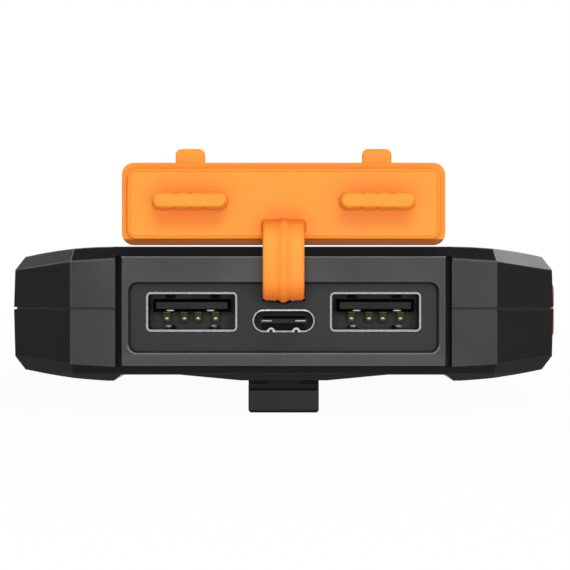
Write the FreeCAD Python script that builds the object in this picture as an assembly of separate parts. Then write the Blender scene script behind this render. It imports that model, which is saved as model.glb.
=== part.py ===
"""Jump starter pack: a slim armoured battery case with USB sockets behind a flip-up port cover.

Millimetres. +X right, +Y from the port end to the lamp end, +Z up.
The origin is the centre of the underside: the plane on which the case lies with its prop foot folded.
"""
import FreeCAD, Part
import math
import os

V = FreeCAD.Vector
X_AXIS = V(1, 0, 0)
Y_AXIS = V(0, 1, 0)
Z_AXIS = V(0, 0, 1)

# Case outline
case_length = 160.0
case_height = 19.2
half_width = 39.0
side_bulge = 0.2
seam_z = 10.35
corner_run = 8.5
front_half_width = half_width - corner_run
wall = 2.0
end_wall = 2.2

# Crowned top and bottom, measured on the cross-section
top_flat_half = 24.0
shoulder_inset = 1.5
top_shoulder_drop = 1.4
side_top_drop = 3.3
side_bottom_z = 3.4
bottom_shoulder_z = 1.45
rail_land_x = 25.2
rail_inner_x = 24.3
rail_height = 0.87
rail_slope_run = 1.1
top_crown_share = 0.25
bottom_crown_share = 0.37

# Chamfers round the two ends
chamfer_back = 1.0
armour_chamfer_top = 1.7
armour_chamfer_bottom = 2.0
armour_edge_droop = 0.4
centre_chamfer_top = 1.25
centre_chamfer_bottom = 1.1

# Spine along the underside
spine_half_flat = 6.2
spine_half_foot = 15.3
spine_end_gap = 2.2
spine_end_slope = 0.6
spine_root = 0.4

# Seam between the two shells
seam_gap = 0.32
seal_inset = 0.25
seal_width = 1.0

# End panels
panel_half_width = 23.2
panel_groove = 0.86
panel_groove_shallow = 0.4
panel_groove_deep = 2.0
panel_fit = 0.06
panel_lip_share = 0.385
panel_lip_thickness = 1.5
panel_lip_fit = 0.1
panel_lip_drop = 0.45
panel_bevel = 0.12

# Port recess in the front panel
recess_half_width = 22.15
recess_bottom_z = 4.0
recess_top_z = 14.07
recess_corner = 1.2
recess_depth = 1.6

# USB-A sockets, standard sizes
usb_a_x = 13.18
usb_a_z = 9.86
usb_a_width = 13.1
usb_a_height = 5.7
usb_a_depth = 14.0
usb_wall = 0.3
usb_a_corner = 0.7
usb_mouth_proud = 0.05
socket_fit = 0.1
tongue_a_width = 11.1
tongue_a_thickness = 1.84
tongue_a_offset_z = 0.91
tongue_a_inset = 0.8
tongue_a_length = 8.4
tongue_a_bevel = 0.45
contact_width = 1.0
contact_thickness = 0.25
contact_pitches = (3.5, 1.0, -1.0, -3.5)
contact_start = 4.9
contact_run = 1.6
contact_dip = 1.2
contact_step = 0.2
retainer_x = 3.2
retainer_rise = 0.55
retainer_width = 1.3

# USB-C socket, standard sizes
usb_c_z = 8.58
usb_c_width = 8.94
usb_c_height = 3.26
usb_c_depth = 9.0
usb_c_wall = 0.22
tongue_c_width = 6.7
tongue_c_thickness = 0.7
tongue_c_inset = 0.5
plate_c_ear = 1.4
plate_c_length = 2.0
plate_c_proud = 0.05
plate_c_thickness = 0.16
plate_c_half_span = 3.1
stake_x = 1.8
stake_radius = 0.55
stake_length = 1.2

# Port cover, flipped up
cover_width = 45.8
cover_height = 11.5
cover_corner = 1.7
flange_bevel = 0.25
plateau_bevel = 0.4
cover_flange_thickness = 1.2
cover_closed_gap = 0.1
plateau_fit_x = 0.1
plateau_fit_z = 0.15
plateau_corner = 1.1
cover_hinge_ahead = 5.05
cover_travel = 5.2
cover_hinge_z = 17.13
cover_lift = 0.28
plug_width = 10.4
plug_height = 2.2
plug_length = 4.6
plug_floor_gap = 0.25
plug_bevel = 0.3
plug_groove_depth = 0.32
plug_groove_width = 1.1
plug_groove_x = (-2.1, 0.0, 2.1)
pull_tab_x = 13.2
pull_tab_width = 4.2
pull_tab_height = 2.0
pull_tab_corner = 0.9
pull_tab_thickness = 1.0

# Cover strap, a loop from a slot in the recess to the cover
strap_width = 5.9
strap_thickness = 1.5
strap_slot_z = 12.3
strap_slot_fit = 0.15
strap_reach = 12.0
strap_bend = 2.2
strap_bead_width = 1.4
strap_bead_height = 0.3
strap_anchor_width = 9.0
strap_anchor_height = 2.2
strap_anchor_thickness = 1.5
strap_anchor_gap = 0.2

# Jump socket in the right-hand side
socket_from_front = 37.0
socket_drop = 0.65
socket_length = 20.4
socket_shoulder_room = 2.5
socket_depth = 22.0
socket_face_inset = 0.8
socket_side_gap = 0.3
socket_key = 2.2
terminal_pitch = 10.4
terminal_bore = 2.5
terminal_wall = 0.7
terminal_length = 14.0
terminal_inset = 1.2
bus_width = 6.0
bus_thickness = 1.0
bus_reach = 9.0

# Jump socket cover, closed
jump_cover_length = 26.0
jump_cover_rim = 1.1
jump_cover_corner = 2.6
jump_cover_gap = 0.1
jump_cover_thickness = 0.85
jump_cover_bevel = 0.3
jump_pad_length = 22.4
jump_pad_margin = 1.0
jump_pad_corner = 1.6
jump_pad_drop = 0.4
jump_pad_thickness = 0.47
jump_plug_fit = 0.25
jump_plug_gap = 0.1
jump_groove_width = 0.36
jump_groove_depth = 0.4
jump_tab_length = 2.4
jump_tab_height = 6.0
jump_tab_corner = 1.2
jump_neck_length = 2.0
jump_neck_height = 5.0
jump_neck_thickness = 0.5
jump_anchor_length = 3.4
jump_anchor_depth = 1.6

# Power button
button_from_front = 54.5
button_radius = 6.2
button_hole_gap = 0.25
button_proud = 0.35
button_flange_half = 6.9
button_flange_thickness = 0.8
button_flange_gap = 0.2
button_travel = 0.5
button_bevel = 0.25
button_dish = 0.25
button_dish_rim = 5.2
button_dish_floor = 3.9
switch_width = 6.0
switch_body_share = 0.7
switch_plunger_width = 3.0
switch_gap = 0.1

# Display
window_from_front = 34.0
window_side_room = 23.0
window_length = 26.0
window_corner = 3.0
window_thickness = 0.8
window_sunk = 0.15
window_fit = 0.1
window_ledge = 1.6
display_stack = 4.0
display_board_thickness = 0.8
display_board_inset = 0.6
display_front_margin = 1.0
display_fit = 0.2
display_post_width = 3.0
display_post_inset_x = 4.0
display_post_inset_y = 2.0
module_gap = 0.1
module_inset_x = 1.0
module_inset_y = 0.5

# Boards, cells and padding
board_thickness = 1.2
board_side_room = 9.5
board_front_gap = 0.2
board_from_front = 60.0
board_socket_gap_x = 1.4
board_socket_gap_y = 2.8
board_post_width = 3.2
board_post_inset = 2.8
board_post_from_front = 10.0
cell_count = 4
cell_gap = 0.1
cell_side_room = 8.0
cell_board_gap = 5.0
cell_rear_room = 18.0
cell_pad_thickness = 0.975
cell_pad_inset = 2.0
cell_tab_width = 8.0
cell_tab_length = 3.0
cell_tab_thickness = 0.3
cell_tab_x = 16.0

# Tall parts on the main board
transistor_count = 5
transistor_width = 5.0
transistor_length = 6.0
transistor_pitch = 6.4
transistor_height = 2.0
transistor_from_end = 14.0
coil_width = 7.0
coil_height = 3.2
coil_pitch = 9.0
coil_from_end = 36.5
capacitor_radius = 3.0
capacitor_height = 5.4
capacitor_gap = 0.8
component_edge = 3.2

# Lamp in the rear panel
lamp_width = 20.0
lamp_height = 9.0
lamp_lens_thickness = 1.6
lamp_drop = 0.35
lamp_fit = 0.1
lamp_ledge = 0.9
reflector_depth = 6.0
reflector_mouth = 3.4
reflector_throat = 1.3
lamp_pitch = 4.6
lamp_board_margin_x = 2.0
lamp_board_margin_z = 0.5
lamp_board_thickness = 1.0
led_size = 1.8
led_height = 0.7

# Screws
screw_side_inset = 6.0
screw_end_inset = 14.0
screw_head_radius = 2.1
screw_head_height = 1.4
screw_radius = 1.1
screw_roof_gap = 3.5
screw_hole_run = 1.5
screw_head_depth = 1.3
screw_fit = 0.2
post_width = 5.6
post_bite = 0.3

# Prop foot, folded out
foot_width = 10.15
foot_reach = 4.7
foot_thickness = 3.0
foot_setback = 4.5
foot_pivot_back = 2.2
foot_pivot_z = 2.3
foot_barrel_radius = 1.6
foot_pin_radius = 0.75
foot_pin_gap = 0.05
foot_side_gap = 0.25
foot_band_height = 1.5
foot_band_step = 0.35
foot_bevel = 0.3
foot_neck_width = 4.2
foot_notch_drop = 0.2
foot_notch_height = 0.3
foot_notch_depth = 1.2
pocket_wall = 1.1
pin_overhang = 2.0

y_front = -case_length / 2
y_rear = case_length / 2
cavity_front = y_front + end_wall
cavity_rear = y_rear - end_wall
floor_z = rail_height + wall
roof_z = case_height - wall
shoulder_x = half_width - shoulder_inset
top_shoulder_z = case_height - top_shoulder_drop
side_top_z = case_height - side_top_drop

socket_y = y_front + socket_from_front
socket_z = seam_z - socket_drop
socket_height = side_top_z - side_bottom_z - socket_shoulder_room
socket_face_x = half_width - socket_face_inset
socket_inner_x = socket_face_x - socket_depth
button_y = y_front + button_from_front
window_y = y_front + window_from_front
window_width = 2 * (half_width - window_side_room)
display_board_half_width = window_width / 2 - display_board_inset
display_board_z = roof_z - display_stack

board_top_z = usb_c_z - usb_c_height / 2
board_half_width = half_width - board_side_room
board_end_y = y_front + board_from_front
board_cut_x = socket_inner_x - board_socket_gap_x
board_cut_y = socket_y - socket_length / 2 - board_socket_gap_y
cell_half_width = half_width - cell_side_room
cell_start_y = board_end_y + cell_board_gap
cell_end_y = y_rear - cell_rear_room
cell_room = roof_z - floor_z - 2 * cell_pad_thickness
cell_thickness = (cell_room - (cell_count - 1) * cell_gap) / cell_count

lamp_z = seam_z - lamp_drop
foot_front_y = y_front + foot_setback
foot_pivot_y = foot_front_y + foot_pivot_back

# How far cutting tools run past a face, and joined forms reach into each other
past = 1.0
bite = 0.1
# What a rounded end lacks of a full half circle, the finest length and volume told apart, and a half space
hair = 0.01
finest = 1e-4
BIG = 400.0


def block(x0, x1, y0, y1, z0, z1):
    """A box between two corners."""
    return Part.makeBox(x1 - x0, y1 - y0, z1 - z0, V(x0, y0, z0))


def rod(start, direction, radius, length):
    """A round rod."""
    return Part.makeCylinder(radius, length, start, direction)


def polygon_prism(points, sweep):
    """A closed polygon pushed along a vector."""
    return Part.Face(Part.makePolygon(points + [points[0]])).extrude(sweep)


def rounded_outline(half_u, half_v, radius):
    """Corners of a rounded rectangle as line ends and arc middles, in its own plane."""
    k = radius * (1 - math.sqrt(0.5))
    return [
        ((half_u - radius, -half_v), (half_u - k, -half_v + k), (half_u, -half_v + radius)),
        ((half_u, half_v - radius), (half_u - k, half_v - k), (half_u - radius, half_v)),
        ((-half_u + radius, half_v), (-half_u + k, half_v - k), (-half_u, half_v - radius)),
        ((-half_u, -half_v + radius), (-half_u + k, -half_v + k), (-half_u + radius, -half_v)),
    ]


def rounded_prism(centre, u_axis, v_axis, width, height, radius, sweep):
    """A rounded rectangle round a centre, pushed along a vector."""
    def place(p):
        return centre + u_axis * p[0] + v_axis * p[1]

    corners = rounded_outline(width / 2, height / 2, radius)
    edges = []
    for i, (first, middle, last) in enumerate(corners):
        following = corners[(i + 1) % len(corners)][0]
        edges.append(Part.Arc(place(first), place(middle), place(last)).toShape())
        if (place(following) - place(last)).Length > finest:
            edges.append(Part.LineSegment(place(last), place(following)).toShape())
    return Part.Face(Part.Wire(edges)).extrude(sweep)


def facing(centre, width, height, radius, sweep):
    """A rounded rectangle in the X-Z plane, pushed along Y."""
    return rounded_prism(centre, X_AXIS, Z_AXIS, width, height, radius, V(0, sweep, 0))


def level(centre, width, length, radius, sweep):
    """A rounded rectangle in the X-Y plane, pushed along Z."""
    return rounded_prism(centre, X_AXIS, Y_AXIS, width, length, radius, V(0, 0, sweep))


def beyond(point_a, point_b, point_c, outside):
    """The half space beyond the plane through three points, on the side of a fourth."""
    normal = (point_b - point_a).cross(point_c - point_a).normalize()
    if normal.dot(outside - point_a) < 0:
        normal = normal * -1
    half_space = Part.makeBox(BIG, BIG, BIG, V(-BIG / 2, -BIG / 2, 0))
    half_space.Placement = FreeCAD.Placement(point_a, FreeCAD.Rotation(Z_AXIS, normal))
    return half_space


def edges_on(shape, axis, value):
    """The edges of a shape that lie wholly in the plane where one coordinate has a value."""
    def farthest(edge):
        first, last = edge.FirstParameter, edge.LastParameter
        return max(abs(edge.valueAt(t)[axis] - value) for t in (first, (first + last) / 2, last))

    return [edge for edge in shape.Edges if farthest(edge) < finest]


def mirrored_x(shape):
    return shape.mirror(V(0, 0, 0), X_AXIS)


def mirrored_y(shape):
    return shape.mirror(V(0, 0, 0), Y_AXIS)


def both_sides(shape):
    return [shape, mirrored_x(shape)]


def four_corners(shape):
    return both_sides(shape) + both_sides(mirrored_y(shape))


def save(name, shape):
    """Writes one sub-part and prints its solids and volume."""
    shape = shape.removeSplitter() if len(shape.Solids) == 1 else shape
    solids = [s for s in shape.Solids if s.Volume > finest]
    out = solids[0] if len(solids) == 1 else Part.makeCompound(solids)
    out.exportStep(os.path.join("parts", name + ".step"))
    print(f"{name:26s} solids {len(solids):2d}  volume {out.Volume:10.2f}  valid {out.isValid()}")


# Case envelope

def crown_arc(x0, z0, x1, z1, share, flip):
    """An arc that has made a share of its change in height halfway across; flip mirrors it to the left."""
    middle = ((x0 + x1) / 2, z0 + share * (z1 - z0))
    return [V(flip * x, 0, z) for x, z in ((x0, z0), middle, (x1, z1))]


def case_section():
    """The cross-section of the case in the X-Z plane, without the spine."""
    edges = []

    def line(a, b):
        edges.append(Part.LineSegment(a, b).toShape())

    for flip in (1, -1):
        top = crown_arc(top_flat_half, case_height, shoulder_x, top_shoulder_z, top_crown_share, flip)
        bottom = crown_arc(rail_land_x, 0.0, shoulder_x, bottom_shoulder_z, bottom_crown_share, flip)
        side = [
            top[2],
            V(flip * half_width, 0, side_top_z),
            V(flip * (half_width + side_bulge), 0, seam_z),
            V(flip * half_width, 0, side_bottom_z),
            bottom[2],
        ]
        edges.append(Part.Arc(*top).toShape())
        edges.append(Part.Arc(*bottom).toShape())
        for a, b in zip(side, side[1:]):
            line(a, b)
        inner = V(flip * rail_inner_x, 0, 0)
        step = V(flip * (rail_inner_x - rail_slope_run), 0, rail_height)
        line(bottom[0], inner)
        line(inner, step)
    line(V(-top_flat_half, 0, case_height), V(top_flat_half, 0, case_height))
    step_x = rail_inner_x - rail_slope_run
    line(V(-step_x, 0, rail_height), V(step_x, 0, rail_height))
    return Part.Face(Part.Wire(Part.__sortEdges__(edges)))


def plan_prism(inset):
    """The plan outline with its four cut corners, as a tall prism."""
    x = half_width + side_bulge + past
    y = y_rear - inset
    cut = (front_half_width + y_rear) - inset * math.sqrt(2)
    outline = [(cut - y, -y), (x, x - cut), (x, cut - x), (cut - y, y)]
    outline += [(-a, b) for a, b in reversed(outline)]
    return polygon_prism([V(a, b, -BIG / 2) for a, b in outline], V(0, 0, BIG))


def end_chamfers():
    """Everything the end chamfers take off the front right quarter, top and bottom."""
    groove_x = panel_half_width + panel_groove / 2
    armour_zone = block(groove_x, BIG, -BIG, 0, -BIG, BIG)
    centre_zone = block(-1.0, groove_x, -BIG, 0, -BIG, BIG)
    cuts = []
    levels = (
        (case_height, -armour_chamfer_top, -armour_edge_droop, side_top_z, -centre_chamfer_top),
        (0.0, armour_chamfer_bottom, armour_edge_droop, side_bottom_z, rail_height + centre_chamfer_bottom),
    )
    for surface_z, rise, droop, side_z, centre_rise in levels:
        out = V(0, -BIG, surface_z * 2 - seam_z)
        inner = V(groove_x, y_front, surface_z + rise)
        corner = V(front_half_width, y_front, surface_z + rise + droop)
        side = V(half_width, y_front + corner_run, side_z)
        inner_back = V(groove_x, y_front + chamfer_back, surface_z)
        back_step = chamfer_back / math.sqrt(2)
        corner_back = corner + V(-back_step, back_step, -rise)
        cuts.append(beyond(inner, corner, inner_back, out).common(armour_zone))
        cuts.append(beyond(corner, side, corner_back, out).common(armour_zone))
        centre_z = surface_z + centre_rise
        skin_z = surface_z if surface_z > 0 else rail_height
        centre_cut = beyond(
            V(0, y_front, centre_z), V(1, y_front, centre_z), V(0, y_front + chamfer_back, skin_z), out)
        cuts.append(centre_cut.common(centre_zone))
    return cuts


def case_envelope():
    """The outer form of the closed case."""
    body = case_section().extrude(V(0, case_length, 0))
    body.translate(V(0, y_front, 0))
    body = body.common(plan_prism(0.0))
    for cut in end_chamfers():
        body = body.cut(Part.makeCompound(four_corners(cut)))
    return body


def spine():
    """The raised spine along the underside, with sloped flanks and ends."""
    length = case_length - 2 * spine_end_gap
    run = spine_half_foot - spine_half_flat
    root_half = spine_half_foot + spine_root / rail_height * run
    root_z = rail_height + spine_root
    half = length / 2
    ridge = polygon_prism([V(-root_half, -half, root_z), V(-spine_half_flat, -half, 0),
                           V(spine_half_flat, -half, 0), V(root_half, -half, root_z)], V(0, length, 0))
    side = [V(-BIG / 2, y, z) for y, z in ((-half, root_z), (-half + spine_end_slope, 0),
                                           (half - spine_end_slope, 0), (half, root_z))]
    return ridge.common(polygon_prism(side, V(BIG, 0, 0)))


def cavity():
    """The hollow inside the case."""
    inner_side = half_width - wall
    shoulder = shoulder_x - wall
    right = [
        (shoulder, floor_z), (inner_side, side_bottom_z + wall / 2), (inner_side, side_top_z - wall / 2),
        (shoulder, top_shoulder_z - wall), (top_flat_half, roof_z),
    ]
    outline = right + [(-x, z) for x, z in reversed(right)]
    hollow = polygon_prism([V(x, cavity_front, z) for x, z in outline], V(0, cavity_rear - cavity_front, 0))
    return hollow.common(plan_prism(wall))


# Screws and their posts

def screw_places():
    """Centres of the four case screws."""
    x = half_width - screw_side_inset
    y = y_rear - screw_end_inset
    return [(x, y), (x, -y), (-x, y), (-x, -y)]


def screw_seat_z():
    return screw_head_depth + screw_head_height


def screw_tip_z():
    return roof_z - screw_roof_gap


def square_post(x, y, width, z0, z1):
    """A square pillar moulded with a shell."""
    half = width / 2
    return block(x - half, x + half, y - half, y + half, z0, z1)


def upper_posts():
    return [square_post(x, y, post_width, seam_z, roof_z + post_bite) for x, y in screw_places()]


def lower_posts():
    return [square_post(x, y, post_width, floor_z - post_bite, seam_z) for x, y in screw_places()]


def screw_bores():
    """Counterbore and pilot hole of each screw."""
    bores = []
    for x, y in screw_places():
        bores.append(rod(V(x, y, -past), Z_AXIS, screw_head_radius + screw_fit, screw_seat_z() + past))
        bores.append(rod(V(x, y, 0), Z_AXIS, screw_radius, screw_tip_z() + screw_hole_run))
    return bores


def lobed_rod(x, y, z0, z1):
    """The shank of a thread-forming screw, six-sided and without its thread."""
    turns = [math.pi / 3 * i for i in range(6)]
    outline = [V(x + screw_radius * math.cos(t), y + screw_radius * math.sin(t), z0) for t in turns]
    return polygon_prism(outline, V(0, 0, z1 - z0))


def case_screws():
    screws = []
    for x, y in screw_places():
        head = rod(V(x, y, screw_head_depth), Z_AXIS, screw_head_radius, screw_head_height)
        shank = lobed_rod(x, y, screw_seat_z(), screw_tip_z())
        screws.append(head.fuse(shank))
    return Part.makeCompound(screws)


# Openings in the shells

def panel_opening():
    """The way through both end walls for the end panels."""
    half = panel_half_width + panel_groove
    z0 = rail_height + centre_chamfer_bottom
    z1 = case_height - centre_chamfer_top
    front = block(-half, half, y_front - past, cavity_front + hair, z0, z1)
    return [front, mirrored_y(front)]


def jump_opening(fit):
    """The way through the right-hand wall for the jump socket, bigger than the socket by fit."""
    length = socket_length + 2 * fit
    height = socket_height + 2 * fit
    outline = [
        (-length / 2, -height / 2), (length / 2, -height / 2), (length / 2, height / 2 - socket_key),
        (length / 2 - socket_key, height / 2), (-length / 2 + socket_key, height / 2),
        (-length / 2, height / 2 - socket_key),
    ]
    return [V(0, socket_y + y, socket_z + z) for y, z in outline]


def jump_anchor_pocket():
    """The pocket in the side wall that holds the anchor of the jump cover."""
    y0 = socket_y + jump_cover_length / 2 + jump_neck_length
    return block(half_width - jump_anchor_depth, BIG, y0, y0 + jump_anchor_length,
                 seam_z - jump_neck_height / 2, seam_z + jump_neck_height / 2)


def foot_pocket(grow):
    """The pocket under the case for the prop foot, grown by a wall thickness."""
    half = foot_width / 2 + foot_side_gap + grow
    y0 = foot_front_y - foot_side_gap - grow
    y1 = foot_pivot_y + foot_pivot_z + foot_reach + foot_side_gap + grow
    top = foot_pivot_z + foot_barrel_radius + foot_side_gap + grow
    return block(-half, half, y0, y1, -past if grow == 0 else 0.0, top)


def foot_pin_hole(radius):
    half = foot_width / 2 + foot_side_gap + pin_overhang
    return rod(V(-half, foot_pivot_y, foot_pivot_z), X_AXIS, radius, 2 * half)


def foot_pin_boss():
    """The square boss that carries the ends of the foot's pin beside its pocket."""
    half_x = foot_width / 2 + foot_side_gap + pin_overhang
    half = foot_pin_radius + pocket_wall
    return block(-half_x, half_x, foot_pivot_y - half, foot_pivot_y + half, foot_pivot_z - half,
                 foot_pivot_z + half)


def shell_cut_tools():
    tools = panel_opening()
    tools.append(polygon_prism(jump_opening(socket_side_gap), V(BIG, 0, 0)))
    tools.append(jump_anchor_pocket())
    return tools


def upper_shell(envelope, hollow):
    lower_half = block(-BIG, BIG, -BIG, BIG, -BIG, seam_z + seam_gap / 2)
    shell = envelope.cut(hollow).cut(lower_half).fuse(upper_posts())
    shell = shell.cut(shell_cut_tools()).cut(screw_bores())
    seat_z = case_height - window_sunk - window_thickness
    window = level(V(0, window_y, seat_z), window_width + 2 * window_fit, window_length + 2 * window_fit,
                   window_corner + window_fit, BIG)
    view = level(V(0, window_y, roof_z - past), window_width - 2 * window_ledge,
                 window_length - 2 * window_ledge, window_corner - window_ledge / 2, BIG)
    button = rod(V(0, button_y, roof_z - past), Z_AXIS, button_radius + button_hole_gap, BIG)
    return shell.cut([window, view, button])


def lower_shell(envelope, hollow):
    upper_half = block(-BIG, BIG, -BIG, BIG, seam_z - seam_gap / 2, BIG)
    foot_room = foot_pocket(0.0)
    inside = block(-BIG, BIG, -BIG, BIG, floor_z - wall / 2, BIG)
    shell = envelope.fuse(spine()).cut(hollow).cut(upper_half)
    shell = shell.fuse([foot_pocket(pocket_wall).common(inside), foot_pin_boss().common(inside)])
    shell = shell.fuse(lower_posts() + board_posts())
    shell = shell.cut(shell_cut_tools()).cut(screw_bores())
    return shell.cut([foot_room, foot_pin_hole(foot_pin_radius)])


def seam_seal(envelope):
    """The rubber cord squeezed between the two shells."""
    z0 = seam_z - seam_gap / 2
    slab = block(-BIG, BIG, -BIG, BIG, z0, z0 + seam_gap)

    def ring(inset):
        x = half_width - inset
        return plan_prism(inset).common(block(-x, x, -BIG, BIG, z0, z0 + seam_gap))

    seal = ring(seal_inset).cut(ring(seal_inset + seal_width)).common(slab)
    return seal.cut(shell_cut_tools()).cut(screw_bores())


# End panels

def panel_blank():
    """The stepped plate that fills the front end wall: face, sloping groove beds and retaining lip."""
    z0 = rail_height + centre_chamfer_bottom + panel_fit
    z1 = case_height - centre_chamfer_top - panel_fit
    bed = panel_half_width + panel_groove - panel_fit
    lip_x = bed + panel_lip_share * (front_half_width - bed)
    face = block(-panel_half_width, panel_half_width, y_front, cavity_front, z0, z1)
    shallow_y, deep_y = y_front + panel_groove_shallow, y_front + panel_groove_deep
    right = [(panel_half_width, shallow_y), (bed, deep_y), (bed, cavity_front)]
    outline = right + [(-x, y) for x, y in reversed(right)]
    root = polygon_prism([V(x, y, z0) for x, y in outline], V(0, 0, z1 - z0))
    lip_y = cavity_front + panel_lip_fit
    lip_z0 = floor_z + panel_lip_fit
    lip_z1 = roof_z - panel_lip_drop
    neck = block(-bed, bed, cavity_front, lip_y, lip_z0, lip_z1)
    lip = block(-lip_x, lip_x, lip_y, lip_y + panel_lip_thickness, lip_z0, lip_z1)
    return face.fuse([root, neck, lip]).removeSplitter()


def panel_depth():
    return end_wall + panel_lip_fit + panel_lip_thickness


def recess_floor_y():
    return y_front + recess_depth


def recess_centre_z():
    return (recess_bottom_z + recess_top_z) / 2


def port_panel():
    through = panel_depth() + past
    recess = facing(V(0, y_front - past, recess_centre_z()), 2 * recess_half_width,
                    recess_top_z - recess_bottom_z, recess_corner, recess_depth + past)
    start = recess_floor_y() - past
    holes = [facing(V(side * usb_a_x, start, usb_a_z), usb_a_width + 2 * socket_fit,
                    usb_a_height + 2 * socket_fit, usb_a_corner + socket_fit, through) for side in (1, -1)]
    holes.append(facing(V(0, start, usb_c_z), usb_c_width + 2 * socket_fit, usb_c_height + 2 * socket_fit,
                        usb_c_height / 2 + socket_fit - hair, through))
    for width, drop in ((strap_width, 0.0), (strap_bead_width, strap_bead_height)):
        half = width / 2 + strap_slot_fit
        holes.append(block(-half, half, start, start + through,
                           strap_slot_z - strap_thickness / 2 - drop - strap_slot_fit,
                           strap_slot_z + strap_thickness / 2 + strap_slot_fit))
    foot_room = foot_pocket(pocket_wall + panel_lip_fit)
    panel = panel_blank().cut(recess)
    panel = panel.makeChamfer(panel_bevel, edges_on(panel, 1, y_front))
    return panel.cut(holes).cut(foot_room)


def rear_panel():
    blank = mirrored_y(panel_blank())
    seat = facing(V(0, y_rear + past, lamp_z), lamp_width + 2 * lamp_fit, lamp_height + 2 * lamp_fit,
                  lamp_height / 2 + lamp_fit - hair, -(lamp_lens_thickness + past))
    way = facing(V(0, y_rear + past, lamp_z), lamp_width - 2 * lamp_ledge, lamp_height - 2 * lamp_ledge,
                 lamp_height / 2 - lamp_ledge - hair, -(panel_depth() + 2 * past))
    return blank.makeChamfer(panel_bevel, edges_on(blank, 1, y_rear)).cut([seat, way])


# USB sockets

def socket_mouth_y():
    return recess_floor_y() - usb_mouth_proud


def usb_a_shell(x):
    """Folded steel shell with a closed back and its spring tongues pressed inwards."""
    y = socket_mouth_y()
    outer = facing(V(x, y, usb_a_z), usb_a_width, usb_a_height, usb_a_corner, usb_a_depth)
    inner = facing(V(x, y - past, usb_a_z), usb_a_width - 2 * usb_wall, usb_a_height - 2 * usb_wall,
                   usb_a_corner - usb_wall, usb_a_depth + past - usb_wall)
    shell = outer.cut(inner)
    low = usb_a_z - usb_a_height / 2 + usb_wall / 2
    high = usb_a_z + usb_a_height / 2 - usb_wall / 2
    for side in (1, -1):
        for z, rise in ((low, retainer_rise), (high, -retainer_rise)):
            x0 = x + side * retainer_x - retainer_width / 2
            y0 = y + contact_start
            spring = polygon_prism(
                [V(x0, y0, z), V(x0, y0 + contact_run, z + rise + usb_wall / 2 * (1 if rise > 0 else -1)),
                 V(x0, y0 + 2 * contact_run, z)], V(retainer_width, 0, 0))
            shell = shell.fuse(spring)
    return shell


def facing_block(x, z, width, height, cut, y0, y1):
    """A block facing the port with its four corners cut to clear a rounded corner."""
    u, w = width / 2, height / 2
    outline = [(-u + cut, -w), (u - cut, -w), (u, -w + cut), (u, w - cut),
               (u - cut, w), (-u + cut, w), (-u, w - cut), (-u, -w + cut)]
    return polygon_prism([V(x + a, y0, z + b) for a, b in outline], V(0, y1 - y0, 0))


def usb_a_tongue(x):
    """The insulator: a back block with the contact tongue standing forward from it."""
    y = socket_mouth_y()
    back_y = y + tongue_a_inset + tongue_a_length
    end_y = y + usb_a_depth - usb_wall
    inner_w = usb_a_width - 2 * usb_wall
    inner_h = usb_a_height - 2 * usb_wall
    block_back = facing_block(x, usb_a_z, inner_w, inner_h, usb_a_corner - usb_wall, back_y, end_y)
    z = usb_a_z + tongue_a_offset_z
    b = tongue_a_bevel
    half_w = tongue_a_width / 2
    half_t = tongue_a_thickness / 2
    tongue = block(x - half_w, x + half_w, y + tongue_a_inset + b, back_y + bite, z - half_t, z + half_t)
    front = Part.makeLoft([
        Part.makePolygon([V(x + u * (half_w - c), yy, z + w * (half_t - c))
                          for u, w in ((1, 1), (-1, 1), (-1, -1), (1, -1), (1, 1))])
        for c, yy in ((b, y + tongue_a_inset), (0.0, y + tongue_a_inset + b + hair))], True, True)
    return block_back.fuse([tongue, front])


def usb_a_contacts():
    """Four bent contact springs under each tongue."""
    y = socket_mouth_y()
    z = usb_a_z + tongue_a_offset_z - tongue_a_thickness / 2
    t = contact_thickness
    back_y = y + tongue_a_inset + tongue_a_length
    knee = contact_start
    strips = []
    for side in (1, -1):
        for pitch in contact_pitches:
            x0 = side * usb_a_x + pitch - contact_width / 2
            path = [(knee, 0.0), (knee + contact_run, -contact_dip + t),
                    (knee + 2 * contact_run, -contact_step), (back_y - y, -contact_step)]
            top = [V(x0, y + d, z + h) for d, h in path]
            low = [V(x0, y + d, z + h - t) for d, h in reversed(path)]
            strips.append(polygon_prism(top + low, V(contact_width, 0, 0)))
    return Part.makeCompound(strips)


def usb_c_shell():
    y = socket_mouth_y()
    outer = facing(V(0, y, usb_c_z), usb_c_width, usb_c_height, usb_c_height / 2 - hair, usb_c_depth)
    inner_h = usb_c_height - 2 * usb_c_wall
    inner = facing(V(0, y - past, usb_c_z), usb_c_width - 2 * usb_c_wall, inner_h, inner_h / 2 - hair,
                   usb_c_depth + past - usb_c_wall)
    shell = outer.cut(inner)
    floor = usb_c_z - usb_c_height / 2 + usb_c_wall / 2
    roof = block(-BIG, BIG, -BIG, BIG, floor, BIG)
    for side in (1, -1):
        stake = rod(V(side * stake_x, y, floor), Y_AXIS, stake_radius, stake_length)
        shell = shell.fuse(stake.common(roof))
    return shell


def usb_c_tongue():
    y = socket_mouth_y()
    inner_h = usb_c_height - 2 * usb_c_wall
    back_y = y + usb_c_depth / 2
    back = facing(V(0, back_y, usb_c_z), usb_c_width - 2 * usb_c_wall, inner_h, inner_h / 2 - hair,
                  y + usb_c_depth - usb_c_wall - back_y)
    tongue = block(-tongue_c_width / 2, tongue_c_width / 2, y + tongue_c_inset, back_y + bite,
                   usb_c_z - tongue_c_thickness / 2, usb_c_z + tongue_c_thickness / 2)
    return back.fuse(tongue).cut(usb_c_plate())


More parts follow.
